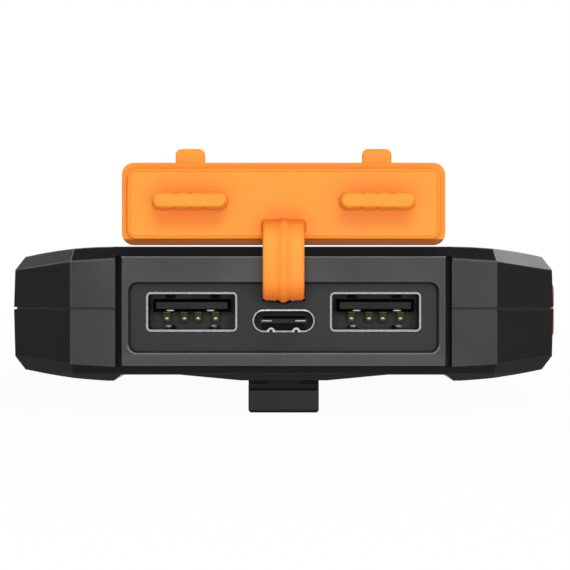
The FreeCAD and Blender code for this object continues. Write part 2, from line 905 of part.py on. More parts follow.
def usb_c_plate():
    """The steel mid plate, bare at the two front corners of the tongue."""
    y = socket_mouth_y() + tongue_c_inset
    ears = []
    for side in (1, -1):
        x0 = side * plate_c_half_span
        x1 = side * (plate_c_half_span - plate_c_ear)
        ears.append(block(min(x0, x1), max(x0, x1), y - plate_c_proud, y + plate_c_length,
                          usb_c_z - plate_c_thickness / 2, usb_c_z + plate_c_thickness / 2))
    return Part.makeCompound(ears)


# Port cover, in its open place

def cover_bottom_z():
    return case_height + cover_lift


def cover_faces_y():
    """Outer face, flange face and plateau face of the open cover, turned half round from its closed place.

    The cover is pulled straight out by its travel before it turns.
    """
    hinge_y = y_front - cover_hinge_ahead
    flange = 2 * hinge_y - (y_front - cover_closed_gap - cover_travel)
    outer = flange + cover_flange_thickness
    plateau = 2 * hinge_y - (recess_floor_y() - cover_closed_gap - cover_travel)
    return outer, flange, plateau


def cover_plug(x, z, y):
    """A plug for one USB-A socket, with three grooves along each broad side."""
    plug = facing(V(x, y, z), plug_width, plug_height, plug_height / 2 - hair, -plug_length)
    plug = plug.makeChamfer(plug_bevel, edges_on(plug, 1, y - plug_length))
    grooves = []
    for gx in plug_groove_x:
        for side in (1, -1):
            zc = z + side * plug_height / 2
            grooves.append(block(x + gx - plug_groove_width / 2, x + gx + plug_groove_width / 2,
                                 y - plug_length - past, y, zc - plug_groove_depth, zc + plug_groove_depth))
    return plug.cut(grooves)


def port_cover():
    outer, flange, plateau = cover_faces_y()
    z = cover_bottom_z() + cover_height / 2
    plate = facing(V(0, outer, z), cover_width, cover_height, cover_corner, flange - outer)
    plate = plate.makeChamfer(flange_bevel, edges_on(plate, 1, outer) + edges_on(plate, 1, flange))
    raised_z = 2 * cover_hinge_z - recess_centre_z()
    raised_width = 2 * (recess_half_width - plateau_fit_x)
    raised_height = recess_top_z - recess_bottom_z - 2 * plateau_fit_z
    raised = facing(V(0, flange + bite, raised_z), raised_width, raised_height, plateau_corner,
                    plateau - flange - bite)
    raised = raised.makeChamfer(plateau_bevel, edges_on(raised, 1, plateau))
    cover = plate.fuse(raised)
    top = cover_bottom_z() + cover_height
    lug_height = pull_tab_height + cover_corner
    closed_plug_z = usb_a_z - usb_a_height / 2 + usb_wall + plug_floor_gap + plug_height / 2
    plug_z = 2 * cover_hinge_z - closed_plug_z
    for side in (1, -1):
        lug = facing(V(side * pull_tab_x, outer, top + pull_tab_height - lug_height / 2), pull_tab_width,
                     lug_height, pull_tab_corner, -pull_tab_thickness)
        cover = cover.fuse([lug, cover_plug(side * usb_a_x, plug_z, plateau + bite / 2)])
    return cover


# Cover strap

def strap_path():
    """Corner points of the strap's centre line, from inside the case round to the cover."""
    inside = cavity_front + panel_lip_fit + panel_lip_thickness + strap_anchor_gap
    front = y_front - strap_reach + strap_thickness / 2
    top_z = 2 * cover_hinge_z - strap_slot_z
    plateau = cover_faces_y()[2]
    return inside, front, top_z, plateau


def strap_band(offset_in, offset_out, width):
    """A band round the strap's loop between two offsets from its centre line, outwards positive."""
    inside, front, top_z, plateau = strap_path()
    r = strap_bend
    low_z = strap_slot_z
    centre_low = V(0, front + r, low_z + r)
    centre_high = V(0, front + r, top_z - r)
    h = math.sqrt(0.5)

    def rim(o):
        q = r + o
        return [
            V(0, inside, low_z - o), V(0, front + r, low_z - o),
            centre_low + V(0, -q * h, -q * h), V(0, front - o, low_z + r),
            V(0, front - o, top_z - r), centre_high + V(0, -q * h, q * h),
            V(0, front + r, top_z + o), V(0, plateau, top_z + o),
        ]

    a, b = rim(offset_out), rim(offset_in)
    edges = []
    for p in (a, b):
        edges.append(Part.LineSegment(p[0], p[1]).toShape())
        edges.append(Part.Arc(p[1], p[2], p[3]).toShape())
        edges.append(Part.LineSegment(p[3], p[4]).toShape())
        edges.append(Part.Arc(p[4], p[5], p[6]).toShape())
        edges.append(Part.LineSegment(p[6], p[7]).toShape())
    edges.append(Part.LineSegment(a[0], b[0]).toShape())
    edges.append(Part.LineSegment(a[7], b[7]).toShape())
    band = Part.Face(Part.Wire(Part.__sortEdges__(edges))).extrude(V(width, 0, 0))
    band.translate(V(-width / 2, 0, 0))
    return band


def cover_strap():
    half = strap_thickness / 2
    band = strap_band(-half, half, strap_width)
    bead = strap_band(half - bite, half + strap_bead_height, strap_bead_width)
    inside = strap_path()[0]
    anchor = block(-strap_anchor_width / 2, strap_anchor_width / 2, inside, inside + strap_anchor_thickness,
                   strap_slot_z - strap_anchor_height / 2, strap_slot_z + strap_anchor_height / 2)
    return band.fuse([bead, anchor])


# Jump socket and its cover

def jump_socket_body():
    body = polygon_prism(jump_opening(0.0), V(socket_face_x - socket_inner_x, 0, 0))
    body.translate(V(socket_inner_x, 0, 0))
    seat = terminal_bore + terminal_wall
    return body.cut([rod(V(0, socket_y + side * terminal_pitch / 2, socket_z), X_AXIS, seat, BIG)
                     for side in (1, -1)])


def jump_terminals():
    """The two brass sleeves that take the lead's bullet plugs, each with its solder tail."""
    sleeves = []
    for side in (1, -1):
        y = socket_y + side * terminal_pitch / 2
        x1 = socket_face_x - terminal_inset
        sleeve = terminal_bore + terminal_wall
        outer = rod(V(socket_inner_x, y, socket_z), X_AXIS, sleeve, x1 - socket_inner_x)
        bore = rod(V(x1 - terminal_length, y, socket_z), X_AXIS, terminal_bore, terminal_length + past)
        sleeves.append(outer.cut(bore))
    return Part.makeCompound(sleeves)


def bus_bars():
    """Copper bars from the sleeves down to the board."""
    bars = []
    for side in (1, -1):
        y = socket_y + side * terminal_pitch / 2
        x1 = socket_inner_x
        upright = block(x1 - bus_thickness, x1, y - bus_width / 2, y + bus_width / 2, board_top_z,
                        socket_z + terminal_bore)
        foot = block(x1 - bus_reach, x1, y - bus_width / 2, y + bus_width / 2, board_top_z,
                     board_top_z + bus_thickness)
        bars.append(upright.fuse(foot))
    return Part.makeCompound(bars)


def jump_side_x():
    """Just outside the bulged side wall."""
    return half_width + side_bulge + jump_cover_gap


def side_pad(centre_y, centre_z, x0, length, height, corner, thickness):
    """A pad on the side wall, a rounded rectangle in Y and Z."""
    return rounded_prism(V(x0, centre_y, centre_z), Y_AXIS, Z_AXIS, length, height, corner, V(thickness, 0, 0))


def jump_cover():
    x0 = jump_side_x()
    x1 = x0 + jump_cover_thickness
    x2 = x1 + jump_pad_thickness
    plate = side_pad(socket_y, socket_z, x0, jump_cover_length, socket_height + 2 * jump_cover_rim,
                     jump_cover_corner, jump_cover_thickness)
    pad = side_pad(socket_y, seam_z - jump_pad_drop, x1 - bite, jump_pad_length,
                   socket_height - 2 * jump_pad_margin, jump_pad_corner, jump_pad_thickness + bite)
    pad = pad.makeChamfer(jump_cover_bevel, edges_on(pad, 0, x2))
    tab_y = socket_y - jump_cover_length / 2 - jump_tab_length / 2 + jump_tab_corner
    tab = side_pad(tab_y, seam_z, x0, jump_tab_length + 2 * jump_tab_corner, jump_tab_height, jump_tab_corner,
                   jump_cover_thickness)
    plug = polygon_prism(jump_opening(-jump_plug_fit), V(x0 + bite - socket_face_x - jump_plug_gap, 0, 0))
    plug.translate(V(socket_face_x + jump_plug_gap, 0, 0))
    groove = block(x2 - jump_groove_depth, BIG, -BIG, BIG, seam_z - jump_groove_width / 2,
                   seam_z + jump_groove_width / 2)
    return plate.fuse([pad, tab, plug]).cut(groove)


def jump_cover_neck():
    """The thin neck and the anchor that hold the jump cover to the case."""
    y0 = socket_y + jump_cover_length / 2
    y1 = y0 + jump_neck_length
    x0 = jump_side_x()
    neck = block(x0, x0 + jump_neck_thickness, y0, y1 + jump_anchor_length,
                 seam_z - jump_neck_height / 2, seam_z + jump_neck_height / 2)
    anchor = block(half_width - jump_anchor_depth, x0, y1, y1 + jump_anchor_length,
                   seam_z - jump_neck_height / 2, seam_z + jump_neck_height / 2)
    return neck.fuse(anchor)


# Button and display

def power_button():
    """A dished cap on a square flange that stops under the top wall and keeps the cap from turning."""
    top = case_height + button_proud
    flange_z = roof_z - button_flange_gap - button_flange_thickness
    cap = rod(V(0, button_y, flange_z), Z_AXIS, button_radius, top - flange_z)
    flange = square_post(0, button_y, 2 * button_flange_half, flange_z, flange_z + button_flange_thickness)
    cap = cap.makeChamfer(button_bevel, edges_on(cap, 2, top))
    dish = Part.makeCone(button_dish_floor, button_dish_rim, button_dish, V(0, button_y, top - button_dish))
    return cap.cut(dish).fuse(flange)


def button_switch():
    """The tactile switch under the button, clear of its travel."""
    z0 = display_board_z + display_board_thickness
    top = roof_z - button_flange_gap - button_flange_thickness - button_travel - switch_gap
    body = square_post(0, button_y, switch_width, z0, z0 + switch_body_share * (top - z0))
    return body.fuse(square_post(0, button_y, switch_plunger_width, z0, top))


def display_window():
    z = case_height - window_sunk - window_thickness
    return level(V(0, window_y, z), window_width, window_length, window_corner, window_thickness)


def display_module():
    """The display: a wide carrier under the top wall and its glass up in the window's opening."""
    z0 = display_board_z + display_board_thickness
    top = case_height - window_sunk - window_thickness - module_gap
    half_w = window_width / 2 - module_inset_x
    half_l = window_length / 2 - module_inset_y
    wide = block(-half_w, half_w, window_y - half_l, window_y + half_l, z0, roof_z - module_gap)
    inset = 2 * (window_ledge + display_fit)
    glass = level(V(0, window_y, z0), window_width - inset, window_length - inset,
                  window_corner - window_ledge / 2, top - z0)
    return wide.fuse(glass)


def display_board():
    y0 = window_y - window_length / 2 - display_front_margin
    y1 = button_y + button_flange_half
    return block(-display_board_half_width, display_board_half_width, y0, y1, display_board_z,
                 display_board_z + display_board_thickness)


def display_posts():
    """Moulded spacers that carry the display board on the main board."""
    y0 = window_y - window_length / 2 - display_front_margin + display_post_inset_y
    y1 = button_y + button_flange_half - display_post_inset_y
    x = display_board_half_width - display_post_inset_x
    return Part.makeCompound([square_post(side * x, y, display_post_width, board_top_z, display_board_z)
                              for side in (1, -1) for y in (y0, y1)])


# Boards, cells and padding

def main_board():
    z0 = board_top_z - board_thickness
    y0 = y_front + panel_depth() + board_front_gap
    wide = block(-board_half_width, board_half_width, y0, board_cut_y, z0, board_top_z)
    narrow = block(-board_half_width, board_cut_x, y0, board_end_y, z0, board_top_z)
    return wide.fuse(narrow)


def board_posts():
    """Pillars of the lower shell that carry the main board."""
    side = board_half_width - board_post_inset
    front_y = y_front + board_post_from_front
    rear_y = board_end_y - board_post_inset
    places = [(-side, front_y), (side, front_y), (-side, rear_y), (board_cut_x - board_post_inset, rear_y)]
    return [square_post(x, y, board_post_width, floor_z - post_bite, board_top_z - board_thickness)
            for x, y in places]


def board_components():
    """The tall components along the left edge: power transistors, two coils and a capacitor."""
    z = board_top_z
    left = component_edge - board_half_width
    y = board_end_y - transistor_from_end
    parts = []
    for i in range(transistor_count):
        x = left + i * transistor_pitch
        parts.append(block(x, x + transistor_width, y, y + transistor_length, z, z + transistor_height))
    for i in range(2):
        y = board_end_y - coil_from_end + i * coil_pitch
        parts.append(block(left, left + coil_width, y, y + coil_width, z, z + coil_height))
    y = socket_mouth_y() + usb_a_depth + capacitor_gap + capacitor_radius
    place = V(left + capacitor_radius, y, z)
    parts.append(rod(place, Z_AXIS, capacitor_radius, capacitor_height))
    return Part.makeCompound(parts)


def cell_levels():
    """The underside of each cell, between foam sheets on the floor and under the roof."""
    bottom = floor_z + cell_pad_thickness
    return [bottom + i * (cell_thickness + cell_gap) for i in range(cell_count)]


def battery_cells():
    return Part.makeCompound([
        block(-cell_half_width, cell_half_width, cell_start_y, cell_end_y, z, z + cell_thickness)
        for z in cell_levels()])


def cell_tabs():
    """Nickel tabs at the front of each cell, folded together in pairs."""
    tabs = []
    half_w, half_t = cell_tab_width / 2, cell_tab_thickness / 2
    for level_z in cell_levels():
        z = level_z + cell_thickness / 2
        for x in (cell_tab_x, -cell_tab_x):
            tabs.append(block(x - half_w, x + half_w, cell_start_y - cell_tab_length, cell_start_y,
                              z - half_t, z + half_t))
    return Part.makeCompound(tabs)


def cell_pads():
    """Foam sheets between the cells and the two shells."""
    y0, y1 = cell_start_y + cell_pad_inset, cell_end_y - cell_pad_inset
    x = top_flat_half
    return Part.makeCompound([block(-x, x, y0, y1, z, z + cell_pad_thickness)
                              for z in (floor_z, roof_z - cell_pad_thickness)])


# Lamp

def lamp_lens():
    corner = lamp_height / 2 - hair
    return facing(V(0, y_rear, lamp_z), lamp_width, lamp_height, corner, -lamp_lens_thickness)


def reflector_cup(x, y0, y1):
    """A four-sided cup that widens from the diode to the lens."""
    t, m = reflector_throat, reflector_mouth
    return Part.makeWedge(x - t, y0, lamp_z - t, lamp_z - m, x - m, x + t, y1, lamp_z + t, lamp_z + m, x + m)


def lamp_reflector():
    """A block behind the rear panel with two silvered cups."""
    y1 = y_rear - panel_depth()
    y0 = y1 - reflector_depth
    half_w, half_h = lamp_width / 2, lamp_height / 2
    body = block(-half_w, half_w, y0, y1, lamp_z - half_h, lamp_z + half_h)
    return body.cut([reflector_cup(side * lamp_pitch, y0, y1) for side in (1, -1)])


def lamp_board():
    y1 = y_rear - panel_depth() - reflector_depth
    half = lamp_width / 2 + lamp_board_margin_x
    return block(-half, half, y1 - lamp_board_thickness, y1, floor_z,
                 lamp_z + lamp_height / 2 + lamp_board_margin_z)


def lamp_leds():
    y0 = y_rear - panel_depth() - reflector_depth
    half = led_size / 2
    return Part.makeCompound([
        block(x - half, x + half, y0, y0 + led_height, lamp_z - half, lamp_z + half)
        for x in (lamp_pitch, -lamp_pitch)])


# Prop foot

def prop_foot():
    """The fold-out foot: a barrel on the pin and a leg with a stepped-back band and a notched neck."""
    half = foot_width / 2
    barrel = rod(V(-half, foot_pivot_y, foot_pivot_z), X_AXIS, foot_barrel_radius, foot_width)
    step = foot_band_step
    back = foot_front_y + foot_thickness
    profile = [
        V(-half, foot_front_y + step, foot_pivot_z), V(-half, foot_front_y + step, -foot_band_height + step),
        V(-half, foot_front_y, -foot_band_height), V(-half, foot_front_y, -foot_reach),
        V(-half, back, -foot_reach), V(-half, back, foot_pivot_z),
    ]
    leg = polygon_prism(profile, V(foot_width, 0, 0))
    leg = leg.makeChamfer(foot_bevel, edges_on(leg, 2, -foot_reach))
    notch = block(foot_neck_width / 2, half + past, foot_front_y - past, foot_front_y + foot_notch_depth,
                  -foot_notch_drop - foot_notch_height, -foot_notch_drop)
    pin_hole = foot_pin_hole(foot_pin_radius + foot_pin_gap)
    return barrel.fuse(leg).cut(both_sides(notch) + [pin_hole])


def main():
    os.makedirs("parts", exist_ok=True)
    envelope = case_envelope()
    hollow = cavity()
    save("upper_shell", upper_shell(envelope, hollow))
    save("lower_shell", lower_shell(envelope, hollow))
    save("seam_seal", seam_seal(envelope))
    save("port_panel", port_panel())
    save("rear_panel", rear_panel())
    save("case_screws", case_screws())
    save("usb_a_shell_right", usb_a_shell(usb_a_x))
    save("usb_a_shell_left", usb_a_shell(-usb_a_x))
    save("usb_a_tongue_right", usb_a_tongue(usb_a_x))
    save("usb_a_tongue_left", usb_a_tongue(-usb_a_x))
    save("usb_a_contacts", usb_a_contacts())
    save("usb_c_shell", usb_c_shell())
    save("usb_c_tongue", usb_c_tongue())
    save("usb_c_plate", usb_c_plate())
    save("port_cover", port_cover())
    save("cover_strap", cover_strap())
    save("jump_socket_body", jump_socket_body())
    save("jump_terminals", jump_terminals())
    save("bus_bars", bus_bars())
    save("jump_cover", jump_cover())
    save("jump_cover_neck", jump_cover_neck())
    save("power_button", power_button())
    save("button_switch", button_switch())
    save("display_window", display_window())
    save("display_module", display_module())
    save("display_board", display_board())
    save("display_posts", display_posts())
    save("main_board", main_board())
    save("board_components", board_components())
    save("battery_cells", battery_cells())
    save("cell_tabs", cell_tabs())
    save("cell_pads", cell_pads())
    save("lamp_lens", lamp_lens())
    save("lamp_reflector", lamp_reflector())
    save("lamp_board", lamp_board())
    save("lamp_leds", lamp_leds())
    save("prop_foot", prop_foot())
    save("foot_pin", foot_pin_hole(foot_pin_radius))


main()
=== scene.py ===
"""Looks of the jump starter pack: a slim armoured battery case seen square on to its USB end."""
import math

import bpy
import numpy as np
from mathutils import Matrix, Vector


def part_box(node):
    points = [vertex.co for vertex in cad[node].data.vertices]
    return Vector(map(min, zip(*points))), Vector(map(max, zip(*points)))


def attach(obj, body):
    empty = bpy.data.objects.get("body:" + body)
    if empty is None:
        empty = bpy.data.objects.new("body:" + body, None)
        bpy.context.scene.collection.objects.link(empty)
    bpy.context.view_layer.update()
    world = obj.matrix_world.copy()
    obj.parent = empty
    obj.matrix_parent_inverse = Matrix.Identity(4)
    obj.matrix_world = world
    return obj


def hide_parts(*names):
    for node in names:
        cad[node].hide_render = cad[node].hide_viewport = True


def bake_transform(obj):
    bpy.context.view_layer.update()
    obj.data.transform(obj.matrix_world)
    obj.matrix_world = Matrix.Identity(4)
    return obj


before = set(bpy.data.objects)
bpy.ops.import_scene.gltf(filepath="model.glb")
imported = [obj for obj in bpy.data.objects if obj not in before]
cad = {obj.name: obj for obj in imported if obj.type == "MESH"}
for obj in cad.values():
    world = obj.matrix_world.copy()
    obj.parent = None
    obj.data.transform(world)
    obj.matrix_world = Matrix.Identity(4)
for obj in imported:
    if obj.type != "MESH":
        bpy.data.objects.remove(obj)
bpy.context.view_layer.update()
MM = 0.001


# Case shells
# Two injection-moulded halves in dark grey, finely spark-textured plastic, pulled together by screws from
# below. Their edges are a little rounded, and those that face up carry a painted highlight in a paler grey.
CASE_GREY, CASE_EDGE_HIGHLIGHT = (0.0095, 0.0095, 0.0102), (0.2, 0.2, 0.203)
CASE_UNDERSIDE_LIT, CASE_CORNER_FILL_LIGHT = (0.021, 0.021, 0.022), (0.05, 0.05, 0.05)
SHELL_EDGE, HIGHLIGHT_WIDTH = 0.14 * MM, 0.36 * MM
HIGHLIGHT_GAIN = 14.0


def feed(tree, socket, value):
    """Links another node's output to a socket, or sets the socket to a number or to a colour of three."""
    if isinstance(value, bpy.types.NodeSocket):
        tree.links.new(value, socket)
    else:
        socket.default_value = (*value, 1.0) if isinstance(value, tuple) else value


def add_node(tree, kind, **inputs):
    """One shader node with its inputs fed; underscores in their names stand for spaces."""
    made = tree.nodes.new(kind)
    for key, value in inputs.items():
        feed(tree, made.inputs[key.replace("_", " ")], value)
    return made


def worked(tree, operation, *values):
    """One step of arithmetic on numbers or other nodes' outputs."""
    step = tree.nodes.new("ShaderNodeMath")
    step.operation = operation
    for socket, value in zip(step.inputs, values):
        feed(tree, socket, value)
    return step.outputs["Value"]


def measured(tree, operation, *vectors):
    """One number taken from vectors, such as a dot product, a distance or a length."""
    step = tree.nodes.new("ShaderNodeVectorMath")
    step.operation = operation
    for socket, vector in zip(step.inputs, vectors):
        if isinstance(vector, tuple):
            socket.default_value = vector
        else:
            tree.links.new(vector, socket)
    return step.outputs["Value"]


def mapped(tree, value, low, high, start=0.0, end=1.0):
    """Maps low to high of a value onto start to end, and holds it there beyond."""
    ramp = add_node(tree, "ShaderNodeMapRange", Value=value, From_Min=low, From_Max=high,
                    To_Min=start, To_Max=end)
    return ramp.outputs["Result"]


def axes_of(tree, vector):
    """A vector's X, Y and Z."""
    return add_node(tree, "ShaderNodeSeparateXYZ", Vector=vector).outputs


def blend_colours(tree, factor, first, second):
    """Mixes two colours by a factor; a colour is three numbers or another node's output."""
    mix = tree.nodes.new("ShaderNodeMix")
    mix.data_type = "RGBA"
    for socket, value in ((mix.inputs["Factor"], factor), (mix.inputs[6], first), (mix.inputs[7], second)):
        feed(tree, socket, value)
    return mix.outputs[2]


def faded(tree, factor, first, second):
    """Mixes two values by a factor; a value is a number or another node's output."""
    return add_node(tree, "ShaderNodeMix", Factor=factor, A=first, B=second).outputs["Result"]


def blank_finish(name):
    """A material with an empty Principled surface, its node tree and its Object coordinates."""
    material = bpy.data.materials.new(name)
    material.use_nodes = True
    tree = material.node_tree
    place = tree.nodes.new("ShaderNodeTexCoord")
    return material, tree, tree.nodes["Principled BSDF"], place.outputs["Object"]


def finish_parts(material):
    """A finish's node tree, its Principled surface and its Object coordinates."""
    tree = material.node_tree
    place = next(n for n in tree.nodes if n.bl_idname == "ShaderNodeTexCoord")
    return tree, tree.nodes["Principled BSDF"], place.outputs["Object"]


def speckle(tree, place, scale, detail=2.0, rough=0.55):
    """Noise on Object coordinates; scale counts its cells per metre."""
    noise = add_node(tree, "ShaderNodeTexNoise", Vector=place, Scale=scale, Detail=detail, Roughness=rough)
    return noise.outputs["Fac"]


def spread(tree, noise, low, high):
    """Maps 0.3 to 0.7 of a noise value, most of what it gives, onto low to high."""
    return mapped(tree, noise, 0.3, 0.7, low, high)


def clouded(tree, noise, first, second):
    """A colour that wanders between two with a noise value."""
    return blend_colours(tree, spread(tree, noise, 0.0, 1.0), first, second)


def shade_of(tone, share):
    """A share of a tone, channel by channel."""
    return tuple(share * c for c in tone)


def pitted(tree, surface, height, strength, depth):
    """Bumps a surface by a height value, depth in metres."""
    bump = add_node(tree, "ShaderNodeBump", Strength=strength, Distance=depth, Height=height)
    feed(tree, surface.inputs["Normal"], bump.outputs["Normal"])


def edge_highlight_share(tree):
    """The painted edge highlight's share: 1 less the dot of the true and a rounded normal, times a gain; less
    if facing down.
    """
    rounded = add_node(tree, "ShaderNodeBevel", Radius=HIGHLIGHT_WIDTH)
    rounded.samples = 4
    true_normal = tree.nodes.new("ShaderNodeNewGeometry").outputs["Normal"]
    dot = measured(tree, "DOT_PRODUCT", rounded.outputs["Normal"], true_normal)
    away = mapped(tree, dot, 1.0, 1.0 - 1.0 / HIGHLIGHT_GAIN)
    upward = mapped(tree, axes_of(tree, rounded.outputs["Normal"])["Z"], 0.02, 0.1, 0.12, 1.0)
    return worked(tree, "MULTIPLY", away, upward)


def textured_plastic(name, tone, edge_highlight, roughness, grain=2200.0, gloss=0.058, highlight_mask=None):
    """Spark-textured moulding: fine grain in the normal, a faint cloud in tone and gloss, and a painted
    highlight in a paler tone along edges that face up.

    Where a mask is given, it takes the tree and the coordinates and returns the share of the painted
    highlight that shows.
    """
    material, tree, surface, place = blank_finish(name)
    cloud = speckle(tree, place, 70.0, 3.0)
    shaded = clouded(tree, cloud, shade_of(tone, 0.93), shade_of(tone, 1.07))
    highlight_share = edge_highlight_share(tree)
    if highlight_mask:
        highlight_share = worked(tree, "MULTIPLY", highlight_share, highlight_mask(tree, place))
    feed(tree, surface.inputs["Base Color"], blend_colours(tree, highlight_share, shaded, edge_highlight))
    feed(tree, surface.inputs["Roughness"], spread(tree, cloud, roughness - 0.03, roughness + 0.04))
    pitted(tree, surface, speckle(tree, place, grain), 0.35, 0.02 * MM)
    surface.inputs["Specular IOR Level"].default_value = gloss
    return material


def along_axis(tree, place, axis, start, end, both_ways=False):
    """0 before start and 1 beyond end on an axis of the Object coordinates; both_ways drops its sign."""
    value = axes_of(tree, place)[axis]
    return mapped(tree, worked(tree, "ABSOLUTE", value) if both_ways else value, start, end)


def toned_past(material, axis, start, end, tone, both_ways=False):
    """Turns the colour to another tone between start and end on an axis, and keeps it beyond."""
    tree, surface, place = finish_parts(material)
    colour = surface.inputs["Base Color"]
    past = along_axis(tree, place, axis, start, end, both_ways)
    feed(tree, colour, blend_colours(tree, past, colour.links[0].from_socket, tone))


def on_armour(tree, place):
    """Where the painted edge highlight shows: 1 on the raised armour beside the end panels, but 0 by the
    joint, where each lip shelters the other.
    """
    seal_low, seal_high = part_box("seam_seal")
    raised = worked(tree, "SUBTRACT", axes_of(tree, place)["Z"], (seal_low.z + seal_high.z) / 2)
    clear = mapped(tree, worked(tree, "ABSOLUTE", raised), 0.4 * MM, 0.6 * MM)
    return worked(tree, "MULTIPLY", clear, along_axis(tree, place, "X", 24.1 * MM, 24.4 * MM, True))


def openness(tree, distance, closed, clear):
    """How open the surroundings are within a distance: 0 in a tight corner, 1 on a free face."""
    around = add_node(tree, "ShaderNodeAmbientOcclusion", Distance=distance)
    around.samples = 8
    return mapped(tree, around.outputs["AO"], closed, clear)


def paint_corner_light_and_dull(material, distance, closed, clear, tone):
    """Paints tight corners a tone of their own, standing in for the light that reaches them, and dulls their
    skin.
    """
    tree, surface, place = finish_parts(material)
    free = openness(tree, distance, closed, clear)
    for name, mixed, dull in (("Base Color", blend_colours, tone), ("Roughness", faded, 0.85)):
        socket = surface.inputs[name]
        feed(tree, socket, mixed(tree, free, dull, socket.links[0].from_socket))


def roughest(tree, surface, least):
    """Raises the roughness to at least a value."""
    rough = surface.inputs["Roughness"]
    feed(tree, rough, worked(tree, "MAXIMUM", rough.links[0].from_socket, least))


def matt_top(material, matt):
    """Dulls the faces that look straight up or down, worn by hands and bench tops."""
    tree, surface, place = finish_parts(material)
    facing = tree.nodes.new("ShaderNodeNewGeometry").outputs["Normal"]
    level = mapped(tree, worked(tree, "ABSOLUTE", axes_of(tree, facing)["Z"]), 0.9, 0.97)
    roughest(tree, surface, worked(tree, "MULTIPLY", level, matt))


def dress(node_name, material):
    """Gives a CAD piece its finish."""
    mesh = cad[node_name].data
    mesh.materials.clear()
    mesh.materials.append(material)
    return cad[node_name]


def soften(piece, width):
    """Joins a CAD piece's triangles into whole faces and rounds its sharp edges by a width."""
    weld = piece.modifiers.new("joined", "WELD")
    weld.merge_threshold = 0.001 * MM
    flats = piece.modifiers.new("flats", "DECIMATE")
    flats.decimate_type = "DISSOLVE"
    flats.angle_limit = math.radians(0.4)
    edge = piece.modifiers.new("edges", "BEVEL")
    edge.width = width
    edge.segments = 2
    edge.limit_method = "ANGLE"
    edge.angle_limit = math.radians(28.0)
    edge.use_clamp_overlap = True
    edge.harden_normals = True


case_finish = textured_plastic("case_plastic", CASE_GREY, CASE_EDGE_HIGHLIGHT, 0.22, highlight_mask=on_armour)
# Painted light: below 1.1 mm the case is painted a paler grey, as if lit from below.
toned_past(case_finish, "Z", 1.15 * MM, 1.05 * MM, CASE_UNDERSIDE_LIT)
# Painted light: tight corners of the case, such as the grooves beside the end panels, are painted a much
# paler grey.
paint_corner_light_and_dull(case_finish, 0.8 * MM, 0.5, 0.75, CASE_CORNER_FILL_LIGHT)
matt_top(case_finish, 0.55)
for shell in ("upper_shell", "lower_shell"):
    soften(dress(shell, case_finish), SHELL_EDGE)


# Seam seal
# A black rubber cord pressed into a groove in the joint between the shells, set back so that it reads as
# a fine dark line.
def soft_rubber(name, tone, roughness):
    """Matt rubber with a dusty bloom."""
    material, tree, surface, place = blank_finish(name)
    bloom = speckle(tree, place, 400.0, 4.0)
    dusty = blend_colours(tree, spread(tree, bloom, 0.0, 0.6), tone, shade_of(tone, 1.8))
    feed(tree, surface.inputs["Base Color"], dusty)
    surface.inputs["Roughness"].default_value = roughness
    pitted(tree, surface, speckle(tree, place, 3000.0), 0.3, 0.01 * MM)
    return material


dress("seam_seal", soft_rubber("seal_rubber", (0.012, 0.012, 0.013), 0.8))


# End panels
# Separate mouldings dropped between the shells, a shade lighter and smoother than the armour, with a small
# bevel round the face and round the recess for the port cover. What lies sunk is left matt.
PANEL_GREY, PANEL_EDGE_HIGHLIGHT = (0.0185, 0.0185, 0.0195), (0.26, 0.255, 0.25)
PANEL_LOW_LIT, PANEL_CORNER_SHADE = (0.03, 0.03, 0.0315), (0.018, 0.018, 0.018)
SUNK_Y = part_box("port_panel")[0].y + 0.9 * MM


def matt_beyond(material, axis, start, matt):
    """Raises the roughness to matt where the surface lies beyond start along an axis."""
    tree, surface, place = finish_parts(material)
    beyond = along_axis(tree, place, axis, start, start + 0.15 * MM)
    roughest(tree, surface, worked(tree, "MULTIPLY", beyond, matt))


def near_front(tree, place):
    """Where the painted edge highlight shows: 1 on the panel's face and 0 down in its recess."""
    return along_axis(tree, place, "Y", SUNK_Y, SUNK_Y - 0.2 * MM)


dress("rear_panel", textured_plastic("panel_plastic", PANEL_GREY, PANEL_EDGE_HIGHLIGHT, 0.22, 2600.0))
front_finish = textured_plastic("port_panel_plastic", PANEL_GREY, PANEL_EDGE_HIGHLIGHT, 0.22, 2600.0, highlight_mask=near_front)
# Painted light: below 3.8 mm the port panel is painted a paler grey, as if lit from low in front.
toned_past(front_finish, "Z", 3.85 * MM, 3.75 * MM, PANEL_LOW_LIT)
matt_beyond(front_finish, "Y", SUNK_Y, 0.34)
# Painted shade: the port panel's tight corners are painted a touch darker, and dulled.
paint_corner_light_and_dull(front_finish, 0.6 * MM, 0.58, 0.84, PANEL_CORNER_SHADE)
dress("port_panel", front_finish)


# Case screws
# Four small plain screws of blackened steel, sunk in counterbores on the underside. They run up into posts of
# the upper shell and pull the two shells together.
def turned_metal(name, tone, roughness, streaks=(60.0, 2600.0, 60.0), bare=1.0):
    """Bright or blackened metal with fine streaks across one axis; bare is less under an oxide skin."""
    material, tree, surface, place = blank_finish(name)
    stretch = add_node(tree, "ShaderNodeMapping", Vector=place)
    stretch.inputs["Scale"].default_value = streaks
    grain = speckle(tree, stretch.outputs["Vector"], 1.0, 3.0)
    feed(tree, surface.inputs["Base Color"], clouded(tree, grain, shade_of(tone, 0.88), tone))
    feed(tree, surface.inputs["Roughness"], spread(tree, grain, roughness, roughness + 0.1))
    surface.inputs["Metallic"].default_value = bare
    pitted(tree, surface, grain, 0.25, 0.004 * MM)
    return material


dress("case_screws", turned_metal("blackened_steel", (0.09, 0.09, 0.095), 0.35))


